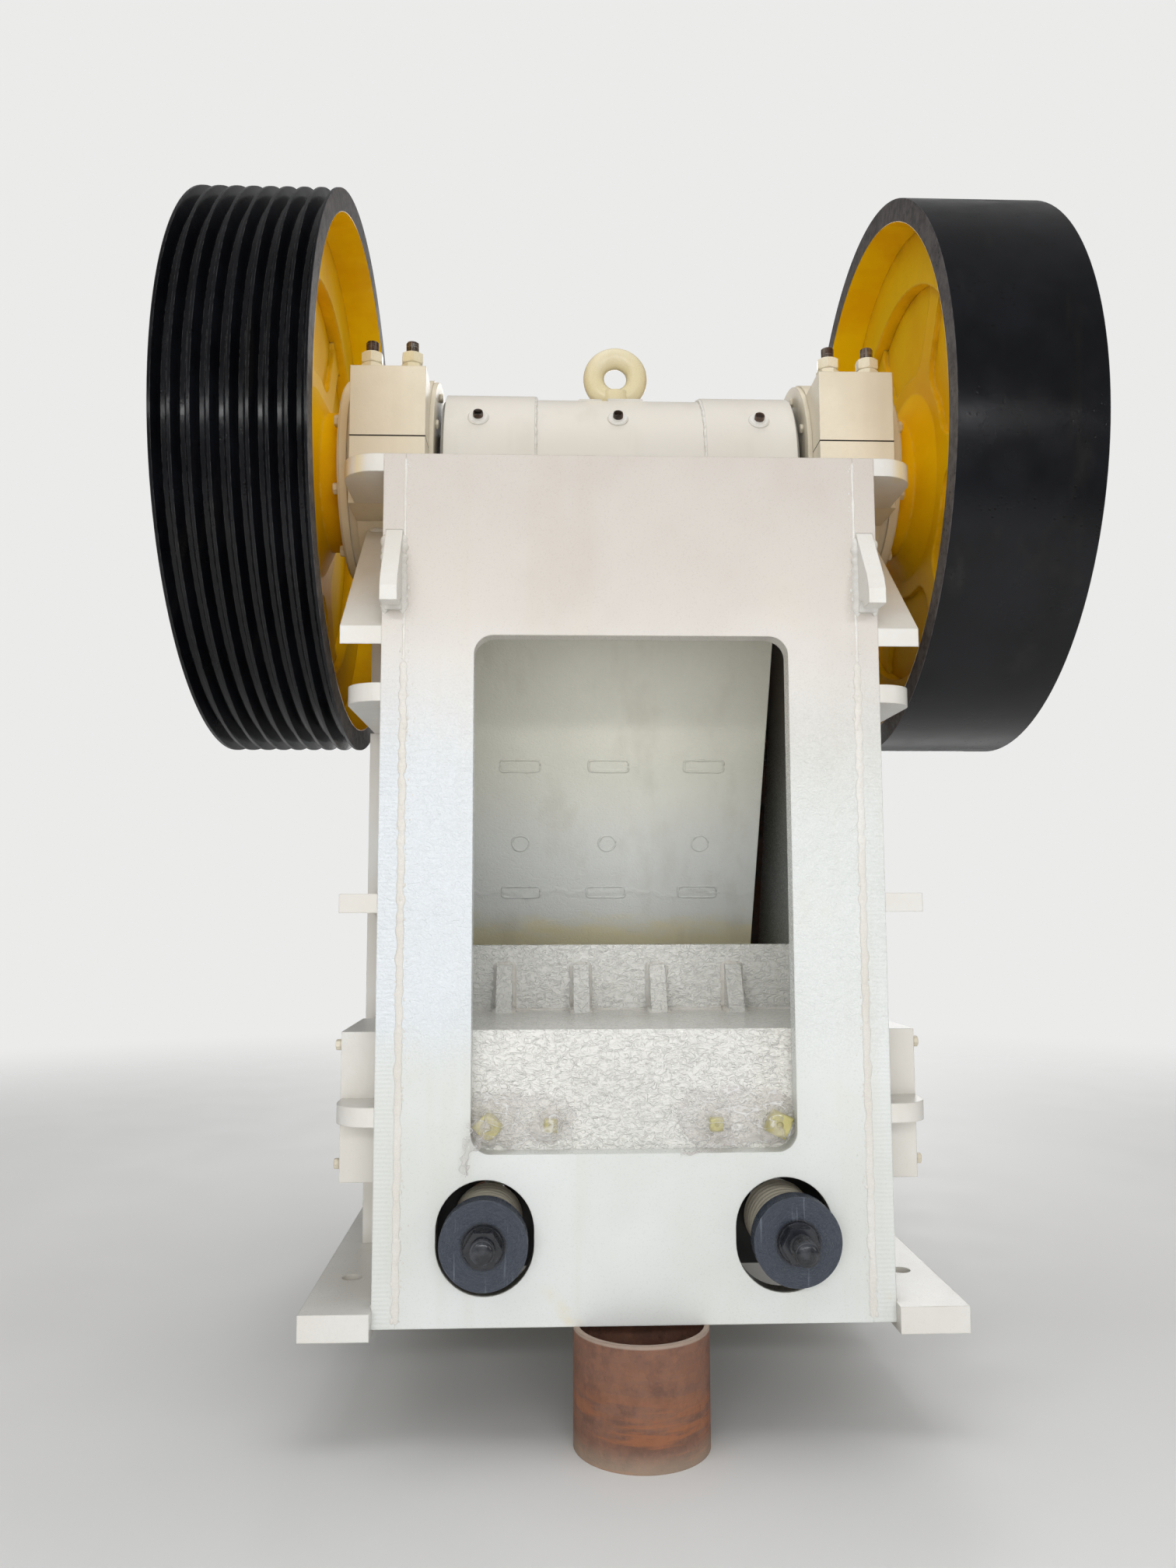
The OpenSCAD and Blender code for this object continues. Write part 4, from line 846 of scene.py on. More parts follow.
def clear_film():
    """Thin clear wrap: a grey haze where it faces the eye, denser along its folds, with a painted highlight along them
    """
    net = Finish("clear_film")
    streaks = net.noise(34.0, 1.5, 0.5, net.stretched((0.3, 1, 1)))
    creases = net.noise(26.0, 1.0, 0.5)
    ridge = net.calc("ABSOLUTE", net.scale_add(streaks, 2.0, -1.0))
    fold_and_highlight = net.fade(ridge, 0.07, 0.0)
    facing = net.put("LayerWeight", {"Blend": 0.35}).outputs["Facing"]
    haze = net.blend(net.fade(creases, 0.35, 0.65), linear(196, 188, 186), linear(232, 226, 223))
    # Whiter along the folds: partly denser film, partly a painted highlight
    colour = net.blend(fold_and_highlight, haze, linear(250, 249, 250))
    rough = net.fade(creases, 0.3, 0.7, 0.08, 0.20)
    net.dress(colour, rough, net.scale_add(fold_and_highlight, 0.7, creases), 0.0030, Specular_IOR_Level=0.8)
    thick = net.scale_add(fold_and_highlight, 0.26, net.fade(creases, 0.42, 0.62, 0.08, 0.26))
    alpha = net.scale_add(facing, 0.46, thick)
    net.link(Alpha=net.calc("MINIMUM", alpha, 0.88))


def build_finishes(paint):
    """Makes every material of the crusher"""
    wall_paint()
    wall, wall_shade = paint.wall, paint.wall_shade
    casting, casting_shade = paint.casting, paint.casting_shade
    nut, yellow = paint.nut, paint.yellow
    sprayed_paint("cream_plate_paint", wall, wall_shade, 0.34, 120.0, 0.0007, shade_and_dirt=0.35)
    sprayed_paint("cream_rib_paint", wall, wall_shade, 0.36, 140.0, 0.0006, shade_and_dirt=0.4, corner=linear(232, 212, 140))
    # The toggle beam's main colour is a lighter copy of the wall cream: painted light that makes up for the shade
    # where the beam lies
    sprayed_paint(
        "cream_embossed_lightened_paint", linear(237, 236, 231), wall, 0.18, 120.0, 0.0014, shade_and_dirt=0.03, embossed=1.8, shine=0.8,
    )
    sprayed_paint("cream_casting_paint", casting, casting_shade, 0.40, 150.0, 0.0009, shade_and_dirt=0.45)
    sprayed_paint("cream_bearing_paint", casting, casting_shade, 0.40, 110.0, 0.0014, shade_and_dirt=0.45, parting=SHAFT_Z)
    sprayed_paint("cream_nut_paint", nut, casting, 0.30, 200.0, 0.0005, shade_and_dirt=0.5, radius=0.002)
    sprayed_paint("cream_eye_paint", casting, nut, 0.30, 110.0, 0.0008, shade_and_dirt=0.4)
    sprayed_paint("cream_weld_paint", wall, wall_shade, 0.24, 240.0, 0.0008, shade_and_dirt=0.35, radius=0.001)
    sprayed_paint("cream_spring_paint", casting, casting_shade, 0.30, 260.0, 0.0003, shade_and_dirt=0.5, radius=0.001)
    sprayed_paint("grey_ring_paint", linear(176, 176, 172), linear(140, 139, 134), 0.4, 160.0, 0.0006, radius=0.003)
    sprayed_paint(
        "yellow_wheel_paint", yellow, paint.yellow_shade, 0.62, 110.0, 0.0016, shade_and_dirt=0.6,
        wear=linear(250, 214, 104), wear_share=0.55, radius=0.012, shade_and_soil=(96, 62, 8), stain=(226, 176, 40),
        shine=0.15,
    )
    # Black on the spring seat stands for the shade deep inside the rod holes: painted shade
    sprayed_paint("black_shade_primer", linear(34, 33, 32), linear(24, 24, 24), 0.5, 150.0, 0.0008, wear_share=0.1)
    jaw_paint(paint)
    rim_paint(paint)
    cap_paint(paint)
    rod_gloss(paint)
    bare_metal("machined_steel", linear(178, 178, 176), linear(132, 132, 130), 0.22, 0.38, rust=0.25, lathe=0.8)
    bare_metal("oiled_steel", linear(96, 94, 90), linear(58, 56, 54), 0.26, 0.42, rust=0.35)
    bare_metal(
        "cast_manganese", linear(96, 92, 88), linear(70, 64, 58), 0.5, 0.7, rust=0.6, metallic=0.6, depth=0.0012
    )
    bare_metal("zinc_plate", paint.zinc, linear(196, 188, 118), 0.26, 0.42, rust=0.06, metallic=0.45)
    rusty_pipe(paint)
    clear_film()


FINISHED_NODES = {
    "cream_wall_paint": "rear_wall side_plate_left side_plate_right",
    "cream_plate_paint": "front_wall foot_left foot_right side_boxes lifting_hooks",
    "cream_rib_paint": "front_ribs front_uprights side_ribs_left side_ribs_right seat_braces_left seat_braces_right",
    "cream_bearing_paint": "bearing_seat_left bearing_seat_right bearing_cap_left bearing_cap_right",
    "cream_casting_paint": "outer_covers inner_covers",
    "cream_embossed_lightened_paint": "toggle_beam",
    "cream_eye_paint": "lifting_eye",
    "cream_spring_paint": "rod_springs",
    "jaw_back_paint": "jaw_body",
    "grey_ring_paint": "jaw_end_rings",
    "wheel_rim_paint": "pulley_rim flywheel_rim",
    "yellow_wheel_paint": "pulley_web pulley_spokes flywheel_web flywheel_spokes",
    "black_cap_paint": "spring_caps",
    "black_rod_paint": "tension_rod_left tension_rod_right",
    # The spring seat's black is painted shade inside the rod holes
    "black_shade_primer": "spring_seat",
    "machined_steel": "eccentric_shaft",
    "oiled_steel": "cap_studs toggle_plate",
    "cast_manganese": "cheek_plates fixed_jaw_plate movable_jaw_plate toggle_block",
    "zinc_plate": "adjusting_bolts",
    "rusty_pipe": "pipe_stand_rear pipe_stand_front",
}


class CrusherPaintNodes(bpy.types.Operator):
    """Make the finishes and give each CAD node its own"""

    bl_idname = "crusher.paint_nodes"
    bl_label = "Paint the CAD nodes"

    def execute(self, context):
        build_effects()
        build_finishes(context.scene.crusher_paint)
        for finish, nodes in FINISHED_NODES.items():
            for node in nodes.split():
                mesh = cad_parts[node].data
                mesh.materials.clear()
                mesh.materials.append(bpy.data.materials[finish])
        return {"FINISHED"}


class CrusherWallSeams(bpy.types.Operator):
    """Lay the rough seams that join the rear and front walls to the side plates"""

    bl_idname = "crusher.wall_seams"
    bl_label = "Lay the wall seams"

    def execute(self, context):
        weld = context.scene.crusher_welds
        low, high = WALL_LOW.z + 0.01, WALL_HIGH.z - 0.012
        middle = WALL_LOW.z + 0.75 * (WALL_HIGH.z - WALL_LOW.z)
        width, height = weld.seam_width, weld.seam_height

        def upward(face, start, end):
            return straight_path((WALL_HIGH.x, face, start), (WALL_HIGH.x, face, end), weld.step)

        for name, face, out in (("rear_wall_seams", WALL_LOW.y, -Y), ("front_wall_seams", SIDE_HIGH.y, Y)):
            path = upward(face, low, high)
            shape = joined([
                weld_bead(upward(face, low, middle), out, width, height, weld.ripple * 1.4, 3, 0.3),
                weld_bead(upward(face, middle, high), out, width * 0.35, height * 0.6, weld.ripple, 5),
                paint_drops(path, out, width * 1.4, weld.drop_size, 0.011, 7),
                paint_drops(path - [0.010, 0, 0], out, width * 2.4, weld.drop_size * 0.5, 0.010, 11),
            ])
            new_piece(name, mirrored(shape))
        return {"FINISHED"}


class CrusherFillets(bpy.types.Operator):
    """Lay the fillet beads of the ribs, uprights, feet, hooks, side boxes and gussets"""

    bl_idname = "crusher.fillets"
    bl_label = "Lay the fillet welds"

    def execute(self, context):
        weld = context.scene.crusher_welds

        def lay(name, lines, seed, size=1.0, swell=0.16):
            width, height = weld.fillet_width * size, weld.fillet_height * size
            shapes = []
            for i, (start, end, out) in enumerate(lines):
                path = straight_path(start, end, weld.step * 1.6)
                shapes.append(weld_bead(path, unit(out), width, height, weld.ripple, seed + i, swell))
            new_piece(name, mirrored(joined(shapes)))

        side, rear, front = SIDE_HIGH.x, SIDE_LOW.y, SIDE_HIGH.y
        lines = [((side, rear + 0.02, z), (side, front - 0.02, z), (1, 0, -1)) for z in RIB_LOWS]
        lines += [((side, rear + 0.02, z + RIB), (side, front - 0.02, z + RIB), (1, 0, 1)) for z in RIB_LOWS[:3]]
        lay("side_rib_fillets", lines, 20)

        # Each upright runs from the foot, past three ribs, to its own top
        starts = (FOOT_HIGH.z, *(z + RIB for z in RIB_LOWS[:3]))
        lines = []
        for rear_face, front_face, top in ((-0.396, -0.350, 2.226), (-0.040, 0.006, 2.336)):
            for low, high in zip(starts, (*RIB_LOWS[:3], top)):
                for face, lean in ((rear_face, -1), (front_face, 1)):
                    lines.append(((side, face, low + 0.01), (side, face, high - 0.01), (1, lean, 0)))
        brace_end = (-0.546, 2.315)
        lines.append(((side + 0.004, *brace_end), (side + 0.096, *brace_end), (0, -1, 0)))
        lay("upright_fillets", lines, 60)

        top = FOOT_HIGH.z
        lay("foot_fillets", [((side, rear + 0.01, top), (side, front - 0.01, top), (1, 0, 1))], 90, 1.25)

        lines = []
        for x, lean in ((HOOK_HIGH.x - 0.042, -1), (HOOK_HIGH.x, 1)):
            for face, out in ((rear, -1), (front, 1)):
                lines.append(((x, face, HOOK_LOW.z - 0.008), (x, face, HOOK_HIGH.z - 0.012), (lean, out, 0)))
        lay("hook_fillets", lines, 95, 2.0, 0.06)

        low, high, box_rear, box_front = BOX_LOW.z, BOX_HIGH.z, BOX_LOW.y, BOX_HIGH.y
        lay("side_box_fillets", [
            ((side, box_rear, low), (side, box_front, low), (1, 0, -1)),
            ((side, box_rear, high), (side, box_front, high), (1, 0, 1)),
            ((side, box_rear, low), (side, box_rear, high), (1, -1, 0)),
        ], 120)

        inner, face = WALL_HIGH.x, PLATE_FACE
        lay("toggle_beam_fillets", [
            ((inner, BEAM_LOW.y + 0.01, BEAM_TOP), (inner, face, BEAM_TOP), (-1, 0, 1)),
            ((inner, face, BEAM_TOP), (inner, face, BEAM_HIGH.z - 0.01), (-1, -1, 0)),
            ((0, face, BEAM_TOP), (inner, face, BEAM_TOP), (0, -1, 1)),
        ], 150)

        lines, top = [], BEAM_TOP + 0.131
        for x in (0.110, 0.330):
            for edge in (-1, 1):
                at = x + edge * RIB / 2
                lines.append(((at, face - 0.098, BEAM_TOP), (at, face, BEAM_TOP), (edge, 0, 1)))
                lines.append(((at, face, BEAM_TOP), (at, face, top + 0.008), (edge, -1, 0)))
            lines.append(((x - RIB / 2, face, top), (x + RIB / 2, face, top), (0, -1, 1)))
        lay("gusset_fillets", lines, 180, 1.7, 0.03)
        return {"FINISHED"}


class CrusherHeadDetails(bpy.types.Operator):
    """Weld the joints of the swing jaw's head and fit the pads and grease points on it"""

    bl_idname = "crusher.head_details"
    bl_label = "Finish the jaw head"

    def execute(self, context):
        weld = context.scene.crusher_welds
        path = arc_path(HEAD_MIDDLE_X, HEAD_MIDDLE_R + 0.002, -20, 235, weld.step * 1.3)
        out = unit(path - [HEAD_MIDDLE_X, SHAFT_Y, HEAD_Z]) * 0.7 - X * 0.7
        new_piece("head_joint_beads", mirrored(weld_bead(path, out, 0.007, 0.006, weld.ripple, 170)), body="jaw")
        pads = joined([
            pad_on_head(-0.030, 0.075, 104, 116, HEAD_MIDDLE_R, 0.007),
            pad_on_head(-0.115, -0.045, 98, 108, HEAD_MIDDLE_R, 0.006),
        ])
        new_piece("eye_weld_pads", pads, body="jaw")
        base = [(0.030, 0), (0.030, 0.006), (0.026, 0.010), (0.016, 0.011)]
        cup = [(0.014, 0.006), (0.0145, 0.020), (0.0135, 0.024), (0.0115, 0.0245), (0.0095, 0.022), (0.0085, 0.012)]
        cups, bases = [], []
        for x, radius, degrees in ((-0.406, HEAD_END_R, 152), (-0.006, HEAD_MIDDLE_R, 149), (0.399, HEAD_END_R, 152)):
            angle = math.radians(degrees)
            out = np.array([0, math.cos(angle), math.sin(angle)])
            foot = np.array([x, SHAFT_Y, HEAD_Z]) + out * (radius - 0.004)
            bases.append(lathe(foot, out, base))
            cups.append(lathe(foot, out, cup))
        new_piece("grease_point_pads", joined(bases), body="jaw")
        new_piece("grease_point_cups", joined(cups), "oiled_steel", "jaw")
        return {"FINISHED"}


class CrusherJawWelds(bpy.types.Operator):
    """Weld the swing jaw's back to the ribs behind it, through rows of slots and round holes"""

    bl_idname = "crusher.jaw_welds"
    bl_label = "Weld the jaw's back"

    def execute(self, context):
        weld = context.scene.crusher_welds
        down = np.array([0, math.sin(BACK_SLOPE), -math.cos(BACK_SLOPE)])
        out = np.array([0, -math.cos(BACK_SLOPE), -math.sin(BACK_SLOPE)])
        top = np.array([0, SHAFT_Y, SHAFT_Z]) + out * BACK_OFF
        turn = np.linspace(0, FULL_TURN, 60)[:, None]
        across_slot, along_slot = np.cos(turn), np.sin(turn)
        width, height, ripple = weld.seam_width * 0.4, weld.seam_height * 0.8, weld.ripple * 2
        # Distance down the back, half width, half height, and the power that squares a round hole into a slot
        rows = ((0.785, 0.060, 0.019, 8), (1.041, 0.026, 0.026, 2), (1.210, 0.060, 0.019, 8))
        beads = []
        for i, x in enumerate((-0.290, -0.022, 0.268)):
            for along, half_w, half_h, power in rows:
                centre = top + down * along + X * x
                size = (np.abs(across_slot) ** power + np.abs(along_slot) ** power) ** (-1 / power)
                path = centre + size * (half_w * across_slot * X + half_h * along_slot * down)
                beads.append(weld_bead(path, out, width, height, ripple, 200 + i))
        new_piece("jaw_back_welds", joined(beads), "jaw_back_paint", "jaw")
        return {"FINISHED"}


class CrusherCapStuds(bpy.types.Operator):
    """Fit threaded studs with two nuts and a washer on the bearing caps"""

    bl_idname = "crusher.cap_studs"
    bl_label = "Fit the cap studs"

    def execute(self, context):
        flats = context.scene.crusher_fasteners.stud_nut
        nut = (STUD_HIGH.z - STUD_LOW.z) * 0.33
        washer = [(0.0165, 0), (0.034, 0), (0.034, 0.0045), (0.033, 0.0055), (0.0165, 0.0055)]
        nuts, ends = [], []
        for i, (x, y) in enumerate([(x, y) for x in (0.588, 0.700) for y in (-0.626, -0.034)]):
            base = np.array([x, y, STUD_LOW.z])
            nuts += [
                lathe(base, Z, washer, 48, ring_skin),
                flat_sided(base + Z * 0.0055, Z, 6, flats, nut, 0.3 + i * 0.9),
                flat_sided(base + Z * (0.006 + nut), Z, 6, flats, nut * 0.9, 0.9 + i * 0.6),
            ]
            top = base + Z * (0.006 + nut * 1.8)
            ends.append(thread(top, Z, 0.018, STUD_HIGH.z - top[2]))
        painted = new_piece("cap_stud_nuts", mirrored(joined(nuts)), "cream_nut_paint")
        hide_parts("cap_studs")
        bare = new_piece("cap_stud_ends", mirrored(joined(ends)), "oiled_steel")
        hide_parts("cap_studs")
        return {"FINISHED"}


class CrusherCoverBolts(bpy.types.Operator):
    """Bolt the bearing covers and the side boxes"""

    bl_idname = "crusher.cover_bolts"
    bl_label = "Fit the cover bolts"

    def execute(self, context):
        sizes = context.scene.crusher_fasteners
        flats, count = sizes.cover_bolt, sizes.cover_bolts
        crown = ((flats * 0.36, 0.0165), (flats * 0.2, 0.0175))
        centre = np.array([0, SHAFT_Y, SHAFT_Z])
        outer, inner = [], []
        for i in range(count):
            angle = FULL_TURN * (i + 0.5) / count
            spoke = Y * math.cos(angle) + Z * math.sin(angle)
            outer.append(flat_sided(centre + X * COVER_HIGH.x + spoke * 0.258, X, 6, flats, 0.016, i * 1.7, crown))
            inner.append(flat_sided(centre + X * 0.528 + spoke * 0.250, -X, 6, flats * 0.8, 0.009, i * 2.3))
        rim = [(0.016, -0.001), (0.016, 0.0025), (0.0155, 0.003)]
        lows, highs = BOX_LOW.z + 0.042, BOX_HIGH.z - 0.034
        heads = []
        for i, (y, z) in enumerate([(y, z) for y in (BOX_LOW.y + 0.024, BOX_HIGH.y - 0.024) for z in (lows, highs)]):
            base = np.array([BOX_HIGH.x, y, z])
            heads += [lathe(base, X, rim, 24), flat_sided(base + X * 0.003, X, 6, sizes.box_bolt, 0.013, i * 1.3)]
        for name, parts in (("outer_cover_bolts", outer), ("inner_cover_bolts", inner), ("side_box_bolts", heads)):
            new_piece(name, mirrored(joined(parts)), "cream_casting_paint")
        return {"FINISHED"}


class CrusherRodEnds(bpy.types.Operator):
    """Fit the collars, threads and domed tips of the two tension rods"""

    bl_idname = "crusher.rod_ends"
    bl_label = "Finish the rod ends"

    def execute(self, context):
        nut_face = CAP_LOW.y - 0.0364
        loop = [(0.0285, 0), (0.047, 0), (0.0475, 0.002), (0.0475, 0.005), (0.046, 0.007), (0.0285, 0.007)]
        dome = [(0.0255, 0), (0.0235, 0.0035), (0.0185, 0.006), (0.010, 0.0075), (0.003, 0.008)]
        rings, tips = [], []
        for x, node in ((ROD_LEFT, "tension_rod_left"), (ROD_RIGHT, "tension_rod_right")):
            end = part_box(node)[0].y
            rings.append(lathe((x, CAP_LOW.y, ROD_Z), -Y, loop, 48, ring_skin))
            tips.append(thread((x, nut_face + 0.001, ROD_Z), -Y, 0.0292, nut_face - end, 0.0045, 36))
            tips.append(lathe((x, end + 0.001, ROD_Z), -Y, dome, 36))
        new_piece("rod_collars", joined(rings), "black_rod_paint", "jaw")
        new_piece("rod_threads", joined(tips), "black_rod_paint", "jaw")
        return {"FINISHED"}


class CrusherSprings(bpy.types.Operator):
    """Wind the two coil springs behind the caps"""

    bl_idname = "crusher.springs"
    bl_label = "Wind the springs"

    def execute(self, context):
        wire = 0.012
        mean = (SPRING_HIGH.z - SPRING_LOW.z) / 2 - wire
        span = SPRING_HIGH.y - SPRING_LOW.y
        turns = context.scene.crusher_fasteners.spring_turns
        coils = [coil_spring((x, SPRING_LOW.y, ROD_Z), Y, mean, wire, span, turns) for x in (ROD_LEFT, ROD_RIGHT)]
        springs = new_piece("coil_springs", joined(coils), "cream_spring_paint", "jaw")
        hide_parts("rod_springs")
        return {"FINISHED"}


class CrusherAdjusters(bpy.types.Operator):
    """Fit the square heads and short threads of the adjusting bolts"""

    bl_idname = "crusher.adjusters"
    bl_label = "Fit the adjusting bolts"

    def execute(self, context):
        sizes = context.scene.crusher_fasteners
        face, z = BEAM_LOW.y, (ADJUSTER_LOW.z + ADJUSTER_HIGH.z) / 2
        heads = []
        for x, side, turned_by in (
            (-LARGE_BOLT_X, sizes.outer_adjuster, 0.0), (LARGE_BOLT_X, sizes.outer_adjuster, 0.35),
            (-SMALL_BOLT_X, sizes.inner_adjuster, 0.72), (SMALL_BOLT_X, sizes.inner_adjuster, 0.80),
        ):
            top = 0.012 + side * 0.7
            dimple = ((side * 0.36, top), (side * 0.16, top + 0.0005), (side * 0.10, top - side * 0.10))
            dimple = [(radius, height - 0.012) for radius, height in dimple]
            heads.append(thread((x, face, z), -Y, side * 0.36, 0.014, 0.003))
            heads.append(flat_sided((x, face - 0.012, z), -Y, 4, side, side * 0.7, turned_by, dimple))
        bolts = new_piece("adjusting_bolt_heads", joined(heads), "zinc_plate")
        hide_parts("adjusting_bolts")
        return {"FINISHED"}


def wrap_surface(x_left, x_right, z_low, z_high, bolts, seed):
    """y(u, v) = face - puff(u, v): a strip that swells over each bolt head like a bell, with sharp folds that run
    mostly along it, gathered to the face along its edges"""
    rng = np.random.default_rng(seed)
    u, v = np.meshgrid(np.linspace(0, 1, 180), np.linspace(0, 1, 90))
    x = x_left + (x_right - x_left) * u
    rounded = 0.45 + 0.55 * (1 - np.abs(2 * u - 1) ** 7) ** 0.5
    z = (z_low + z_high) / 2 + (z_high - z_low) * (v - 0.5) * rounded
    puff = 0.014 * np.sin(math.pi * v) ** 0.6
    for bolt_x, bolt_z, reach, tall in bolts:
        near = ((x - bolt_x) / reach) ** 2 + ((z - bolt_z) / (reach * 0.9)) ** 2
        puff = np.maximum(puff, tall / (1 + near ** 2.2))
    folds = np.zeros_like(x)
    for _ in range(7):
        lean, wave, phase = rng.uniform(1.2, 1.95), rng.uniform(0.035, 0.10), rng.random()
        bend = 0.3 * np.sin(x * rng.uniform(15, 45) + phase * 9)
        line = (x * math.cos(lean) + z * math.sin(lean)) / wave + phase + bend
        folds += (1 - np.abs(np.mod(line, 1) * 2 - 1)) ** 4 * rng.uniform(0.2, 1.0)
    edge = np.clip(np.minimum(np.minimum(u, 1 - u) * 6, np.minimum(v, 1 - v) * 5), 0, 1)
    y = BEAM_LOW.y - 0.003 - puff * (0.25 + 0.75 * edge) - 0.0026 * folds * (0.3 + 0.7 * edge)
    drop = rng.random(3) * 6
    sag = 0.006 * np.sin(u * 7 + drop[0]) + 0.005 * np.sin(u * 19 + drop[1]) + 0.003 * np.sin(u * 41 + drop[2])
    sag = sag * (1 - 2 * v)
    corner = 0.012 * (np.exp(-u * 30) + np.exp((u - 1) * 30)) * np.sin(math.pi * v)
    return np.stack([x + 0.006 * np.sin(v * 9 + seed) + corner * np.sign(u - 0.5), y, z + sag], axis=-1)


def twisted_strip(points, widths, turns, seed):
    """P(u, v) = c(u) + w(u) (v e(u) + crease(u, v) f(u)), where c runs smoothly through the points and e, f turn
    about its direction as it goes"""
    rng = np.random.default_rng(seed)
    points = np.array(points, float)
    knots = np.linspace(0, 1, len(points))
    u = np.linspace(0, 1, 90)
    eased = np.stack([np.interp(u, knots, column) for column in points.T], axis=-1)
    kernel = np.hanning(15) / np.hanning(15).sum()
    padded = np.vstack([np.repeat(eased[:1], 7, axis=0), eased, np.repeat(eased[-1:], 7, axis=0)])
    path = np.stack([np.convolve(column, kernel, "valid") for column in padded.T], axis=-1)
    ahead = unit(np.gradient(path, axis=0))
    side = unit(np.cross(ahead, Y))
    face = np.cross(side, ahead)
    turn = (turns * FULL_TURN * u + 0.5 * wander(u, 0.3, rng))[:, None]
    first = side * np.cos(turn) + face * np.sin(turn)
    second = face * np.cos(turn) - side * np.sin(turn)
    width = (np.interp(u, knots, widths) * (1 + 0.2 * wander(u, 0.12, rng)))[:, None, None]
    v = np.linspace(-1, 1, 18)[None, :, None]
    crease = 0.22 * np.sin(v * 5.0 + u[:, None, None] * 6) * (1 - v * v)
    return path[:, None] + width * (v * first[:, None] + crease * second[:, None])


def grid_skin(points):
    """Quads of an open grid of points"""
    return points.reshape(-1, 3), grid_quads(*points.shape[:2], closed_columns=False), NO_TRIANGLES


class CrusherFilmWraps(bpy.types.Operator):
    """Wrap clear film over the adjusting bolts"""

    bl_idname = "crusher.film_wraps"
    bl_label = "Wrap the bolts"

    def execute(self, context):
        z = (ADJUSTER_LOW.z + ADJUSTER_HIGH.z) / 2
        front = WALL_LOW.y - 0.010
        big, small = (0.060, 0.056), (0.042, 0.040)
        left_bolts, right_bolts = (
            [(side * LARGE_BOLT_X, z, *big), (side * SMALL_BOLT_X, z, *small)] for side in (-1, 1)
        )
        left = wrap_surface(-0.392, -0.152, z - 0.050, z + 0.076, left_bolts, 2)
        right = wrap_surface(0.112, 0.398, z - 0.052, z + 0.080, right_bolts, 7)
        tail = twisted_strip([
            (-0.352, front + 0.004, z + 0.016), (-0.378, front, z - 0.018), (-0.397, front, z - 0.052),
            (-0.405, front, z - 0.085), (-0.397, front + 0.001, z - 0.108),
        ], [0.032, 0.026, 0.018, 0.015, 0.011], 0.2, 4)
        tuft = twisted_strip([
            (0.240, front + 0.020, z - 0.022), (0.195, front + 0.006, z - 0.036), (0.160, front, z - 0.050),
            (0.134, front, z - 0.062), (0.108, front + 0.001, z - 0.054),
        ], [0.024, 0.024, 0.018, 0.018, 0.022], 0.3, 9)
        for name, grids in (("film_wrap_left", (left, tail)), ("film_wrap_right", (right, tuft))):
            shape = joined([grid_skin(grid) for grid in grids])
            wrap = new_piece(name, shape, "clear_film", sharp=180)
        return {"FINISHED"}


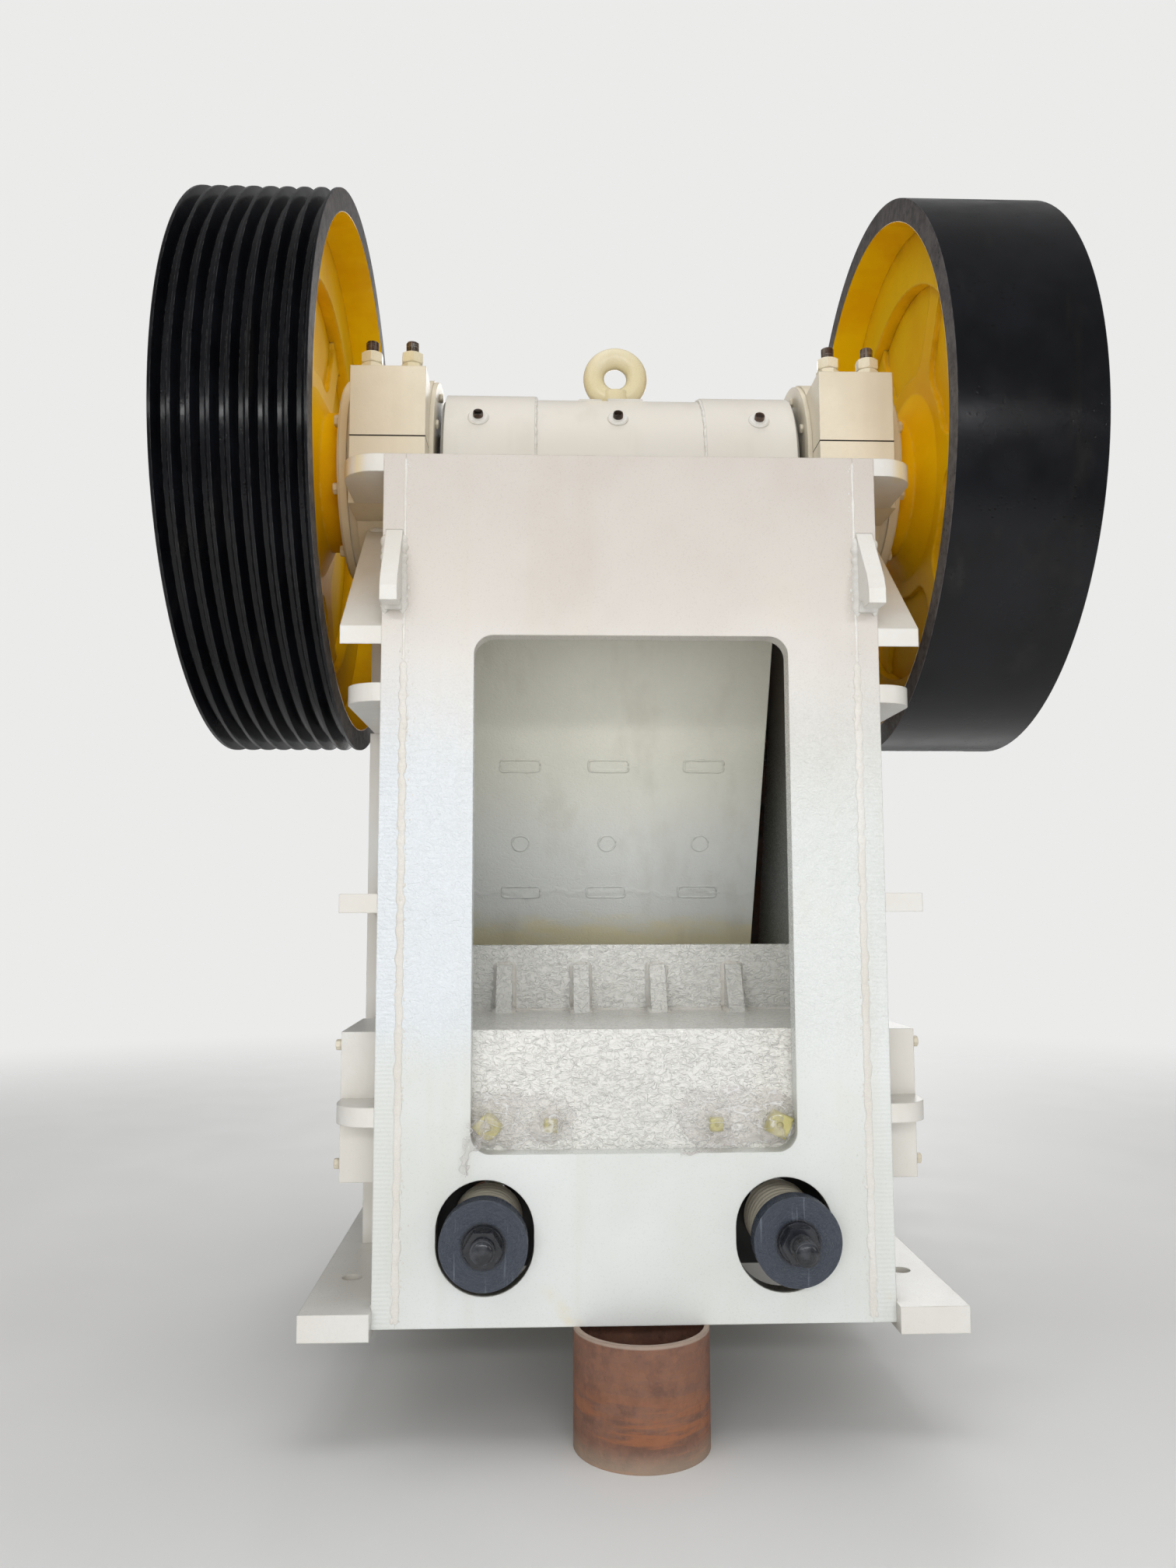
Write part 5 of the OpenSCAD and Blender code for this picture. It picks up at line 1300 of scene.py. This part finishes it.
class CrusherStageSet(bpy.types.Operator):
    """Lay the pale floor, hang the studio lamps and place the camera of the photograph"""

    bl_idname = "crusher.stage_set"
    bl_label = "Set the stage"

    def execute(self, context):
        stage = context.scene.crusher_stage
        scene = context.scene
        scene.view_settings.view_transform = "Standard"
        net = Finish("studio_floor")
        patches = net.mask("soft_patches", Scale=0.6)
        light, dark = tuple(stage.floor), tuple(part * 0.95 for part in stage.floor)
        shaded = net.blend(net.times(patches, 0.2), light, dark)
        rough = net.fade(net.noise(3.0), 0.3, 0.7, 0.55, 0.7)
        net.dress(shaded, rough, net.noise(40.0), 0.0004)
        far = net.put("VectorMath", {0: net.place()}, operation="LENGTH").outputs["Value"]
        net.link(Alpha=net.fade(far, 9.0, 3.2))
        size = 40.0
        mesh = bpy.data.meshes.new("studio_floor")
        mesh.from_pydata([(-size, -size, 0), (size, -size, 0), (size, size, 0), (-size, size, 0)], [], [(0, 1, 2, 3)])
        mesh.materials.append(bpy.data.materials["studio_floor"])
        floor = bpy.data.objects.new("studio_floor", mesh)
        scene.collection.objects.link(floor)

        world = bpy.data.worlds.new("studio_light")
        scene.world = world
        world.use_nodes = True
        world.node_tree.nodes.clear()
        net = Net(world.node_tree)
        rays = net.put("LightPath").outputs
        seen = net.calc("MAXIMUM", rays["Is Camera Ray"], rays["Is Transmission Ray"])
        even = net.put("Background", {"Color": (1, 1, 1, 1), "Strength": stage.sky})
        backdrop = net.put("Background", {"Color": (*light, 1), "Strength": 1.0})
        mixed = net.put("MixShader", {0: seen, 1: even.outputs[0], 2: backdrop.outputs[0]})
        net.put("OutputWorld", {"Surface": mixed.outputs[0]})

        lamps = (
            ("front_lamp", (-0.5, -9.5, 1.6), 8.5, 5.5, 1.12), ("strip_lamp", (0.0, -8.5, 3.5), 7.0, 0.4, 0.32),
            ("key_lamp", (-5.5, -6.0, 6.0), 3.5, 3.5, 0.17), ("fill_lamp", (6.5, -5.0, 3.2), 3.5, 3.5, 0.14),
            ("top_lamp", (0.0, -1.0, 9.0), 7.0, 7.0, 0.95), ("far_lamp", (1.5, 8.0, 4.5), 5.0, 5.0, 0.75),
        )
        aim = Vector((0, 0, 1.6))
        for name, spot, wide, tall, strength in lamps:
            lamp = bpy.data.lights.new(name, "AREA")
            lamp.shape = "RECTANGLE"
            lamp.size, lamp.size_y = wide, tall
            lamp.energy = stage.lamp_watts * strength
            holder = bpy.data.objects.new(name, lamp)
            holder.visible_glossy = name not in ("front_lamp", "top_lamp")
            facing = (aim - Vector(spot)).to_track_quat("-Z", "Y").to_matrix().to_4x4()
            holder.matrix_world = Matrix.Translation(spot) @ facing
            scene.collection.objects.link(holder)

        pitch, yaw, roll = 0.1015, -0.0361, -0.0025
        camera_data = bpy.data.cameras.new("photo_camera")
        camera_data.sensor_fit = "VERTICAL"
        camera_data.sensor_height = 36
        camera_data.lens = stage.lens
        camera_data.clip_end = 200
        camera = bpy.data.objects.new("photo_camera", camera_data)
        upright = Matrix.Rotation(yaw, 4, "Z") @ Matrix.Rotation(math.pi / 2 + pitch, 4, "X")
        place = Matrix.Translation((-0.2146, -3.872, 1.2525))
        camera.matrix_world = place @ (upright @ Matrix.Rotation(roll, 4, "Z"))
        scene.collection.objects.link(camera)
        scene.camera = camera
        return {"FINISHED"}


class CrusherPanel(bpy.types.Panel):
    """The crusher's finishing steps and their settings"""

    bl_idname = "CRUSHER_PT_steps"
    bl_label = "Crusher"
    bl_space_type = "VIEW_3D"
    bl_region_type = "UI"
    bl_category = "Crusher"

    def draw(self, context):
        for step in STEPS:
            self.layout.operator(step.bl_idname)
        for setting in SETTINGS:
            group = getattr(context.scene, setting)
            for name in group.bl_rna.properties.keys():
                if name not in ("rna_type", "name"):
                    self.layout.prop(group, name)


SETTINGS = {
    "crusher_paint": CrusherPaint,
    "crusher_welds": CrusherWelds,
    "crusher_fasteners": CrusherFasteners,
    "crusher_stage": CrusherStage,
}
STEPS = (
    CrusherPaintNodes, CrusherWallSeams, CrusherFillets, CrusherHeadDetails, CrusherJawWelds, CrusherCapStuds,
    CrusherCoverBolts, CrusherRodEnds, CrusherSprings, CrusherAdjusters, CrusherFilmWraps, CrusherStageSet,
)


def register():
    for group in (*SETTINGS.values(), *STEPS, CrusherPanel):
        bpy.utils.register_class(group)
    for name, group in SETTINGS.items():
        setattr(bpy.types.Scene, name, PointerProperty(type=group))


def unregister():
    for name in SETTINGS:
        delattr(bpy.types.Scene, name)
    for group in reversed((*SETTINGS.values(), *STEPS, CrusherPanel)):
        bpy.utils.unregister_class(group)


def main():
    """Registers the add-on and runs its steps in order"""
    register()
    for step in STEPS:
        family, call = step.bl_idname.split(".")
        getattr(getattr(bpy.ops, family), call)()
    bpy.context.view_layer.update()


if __name__ == "__main__":
    main()
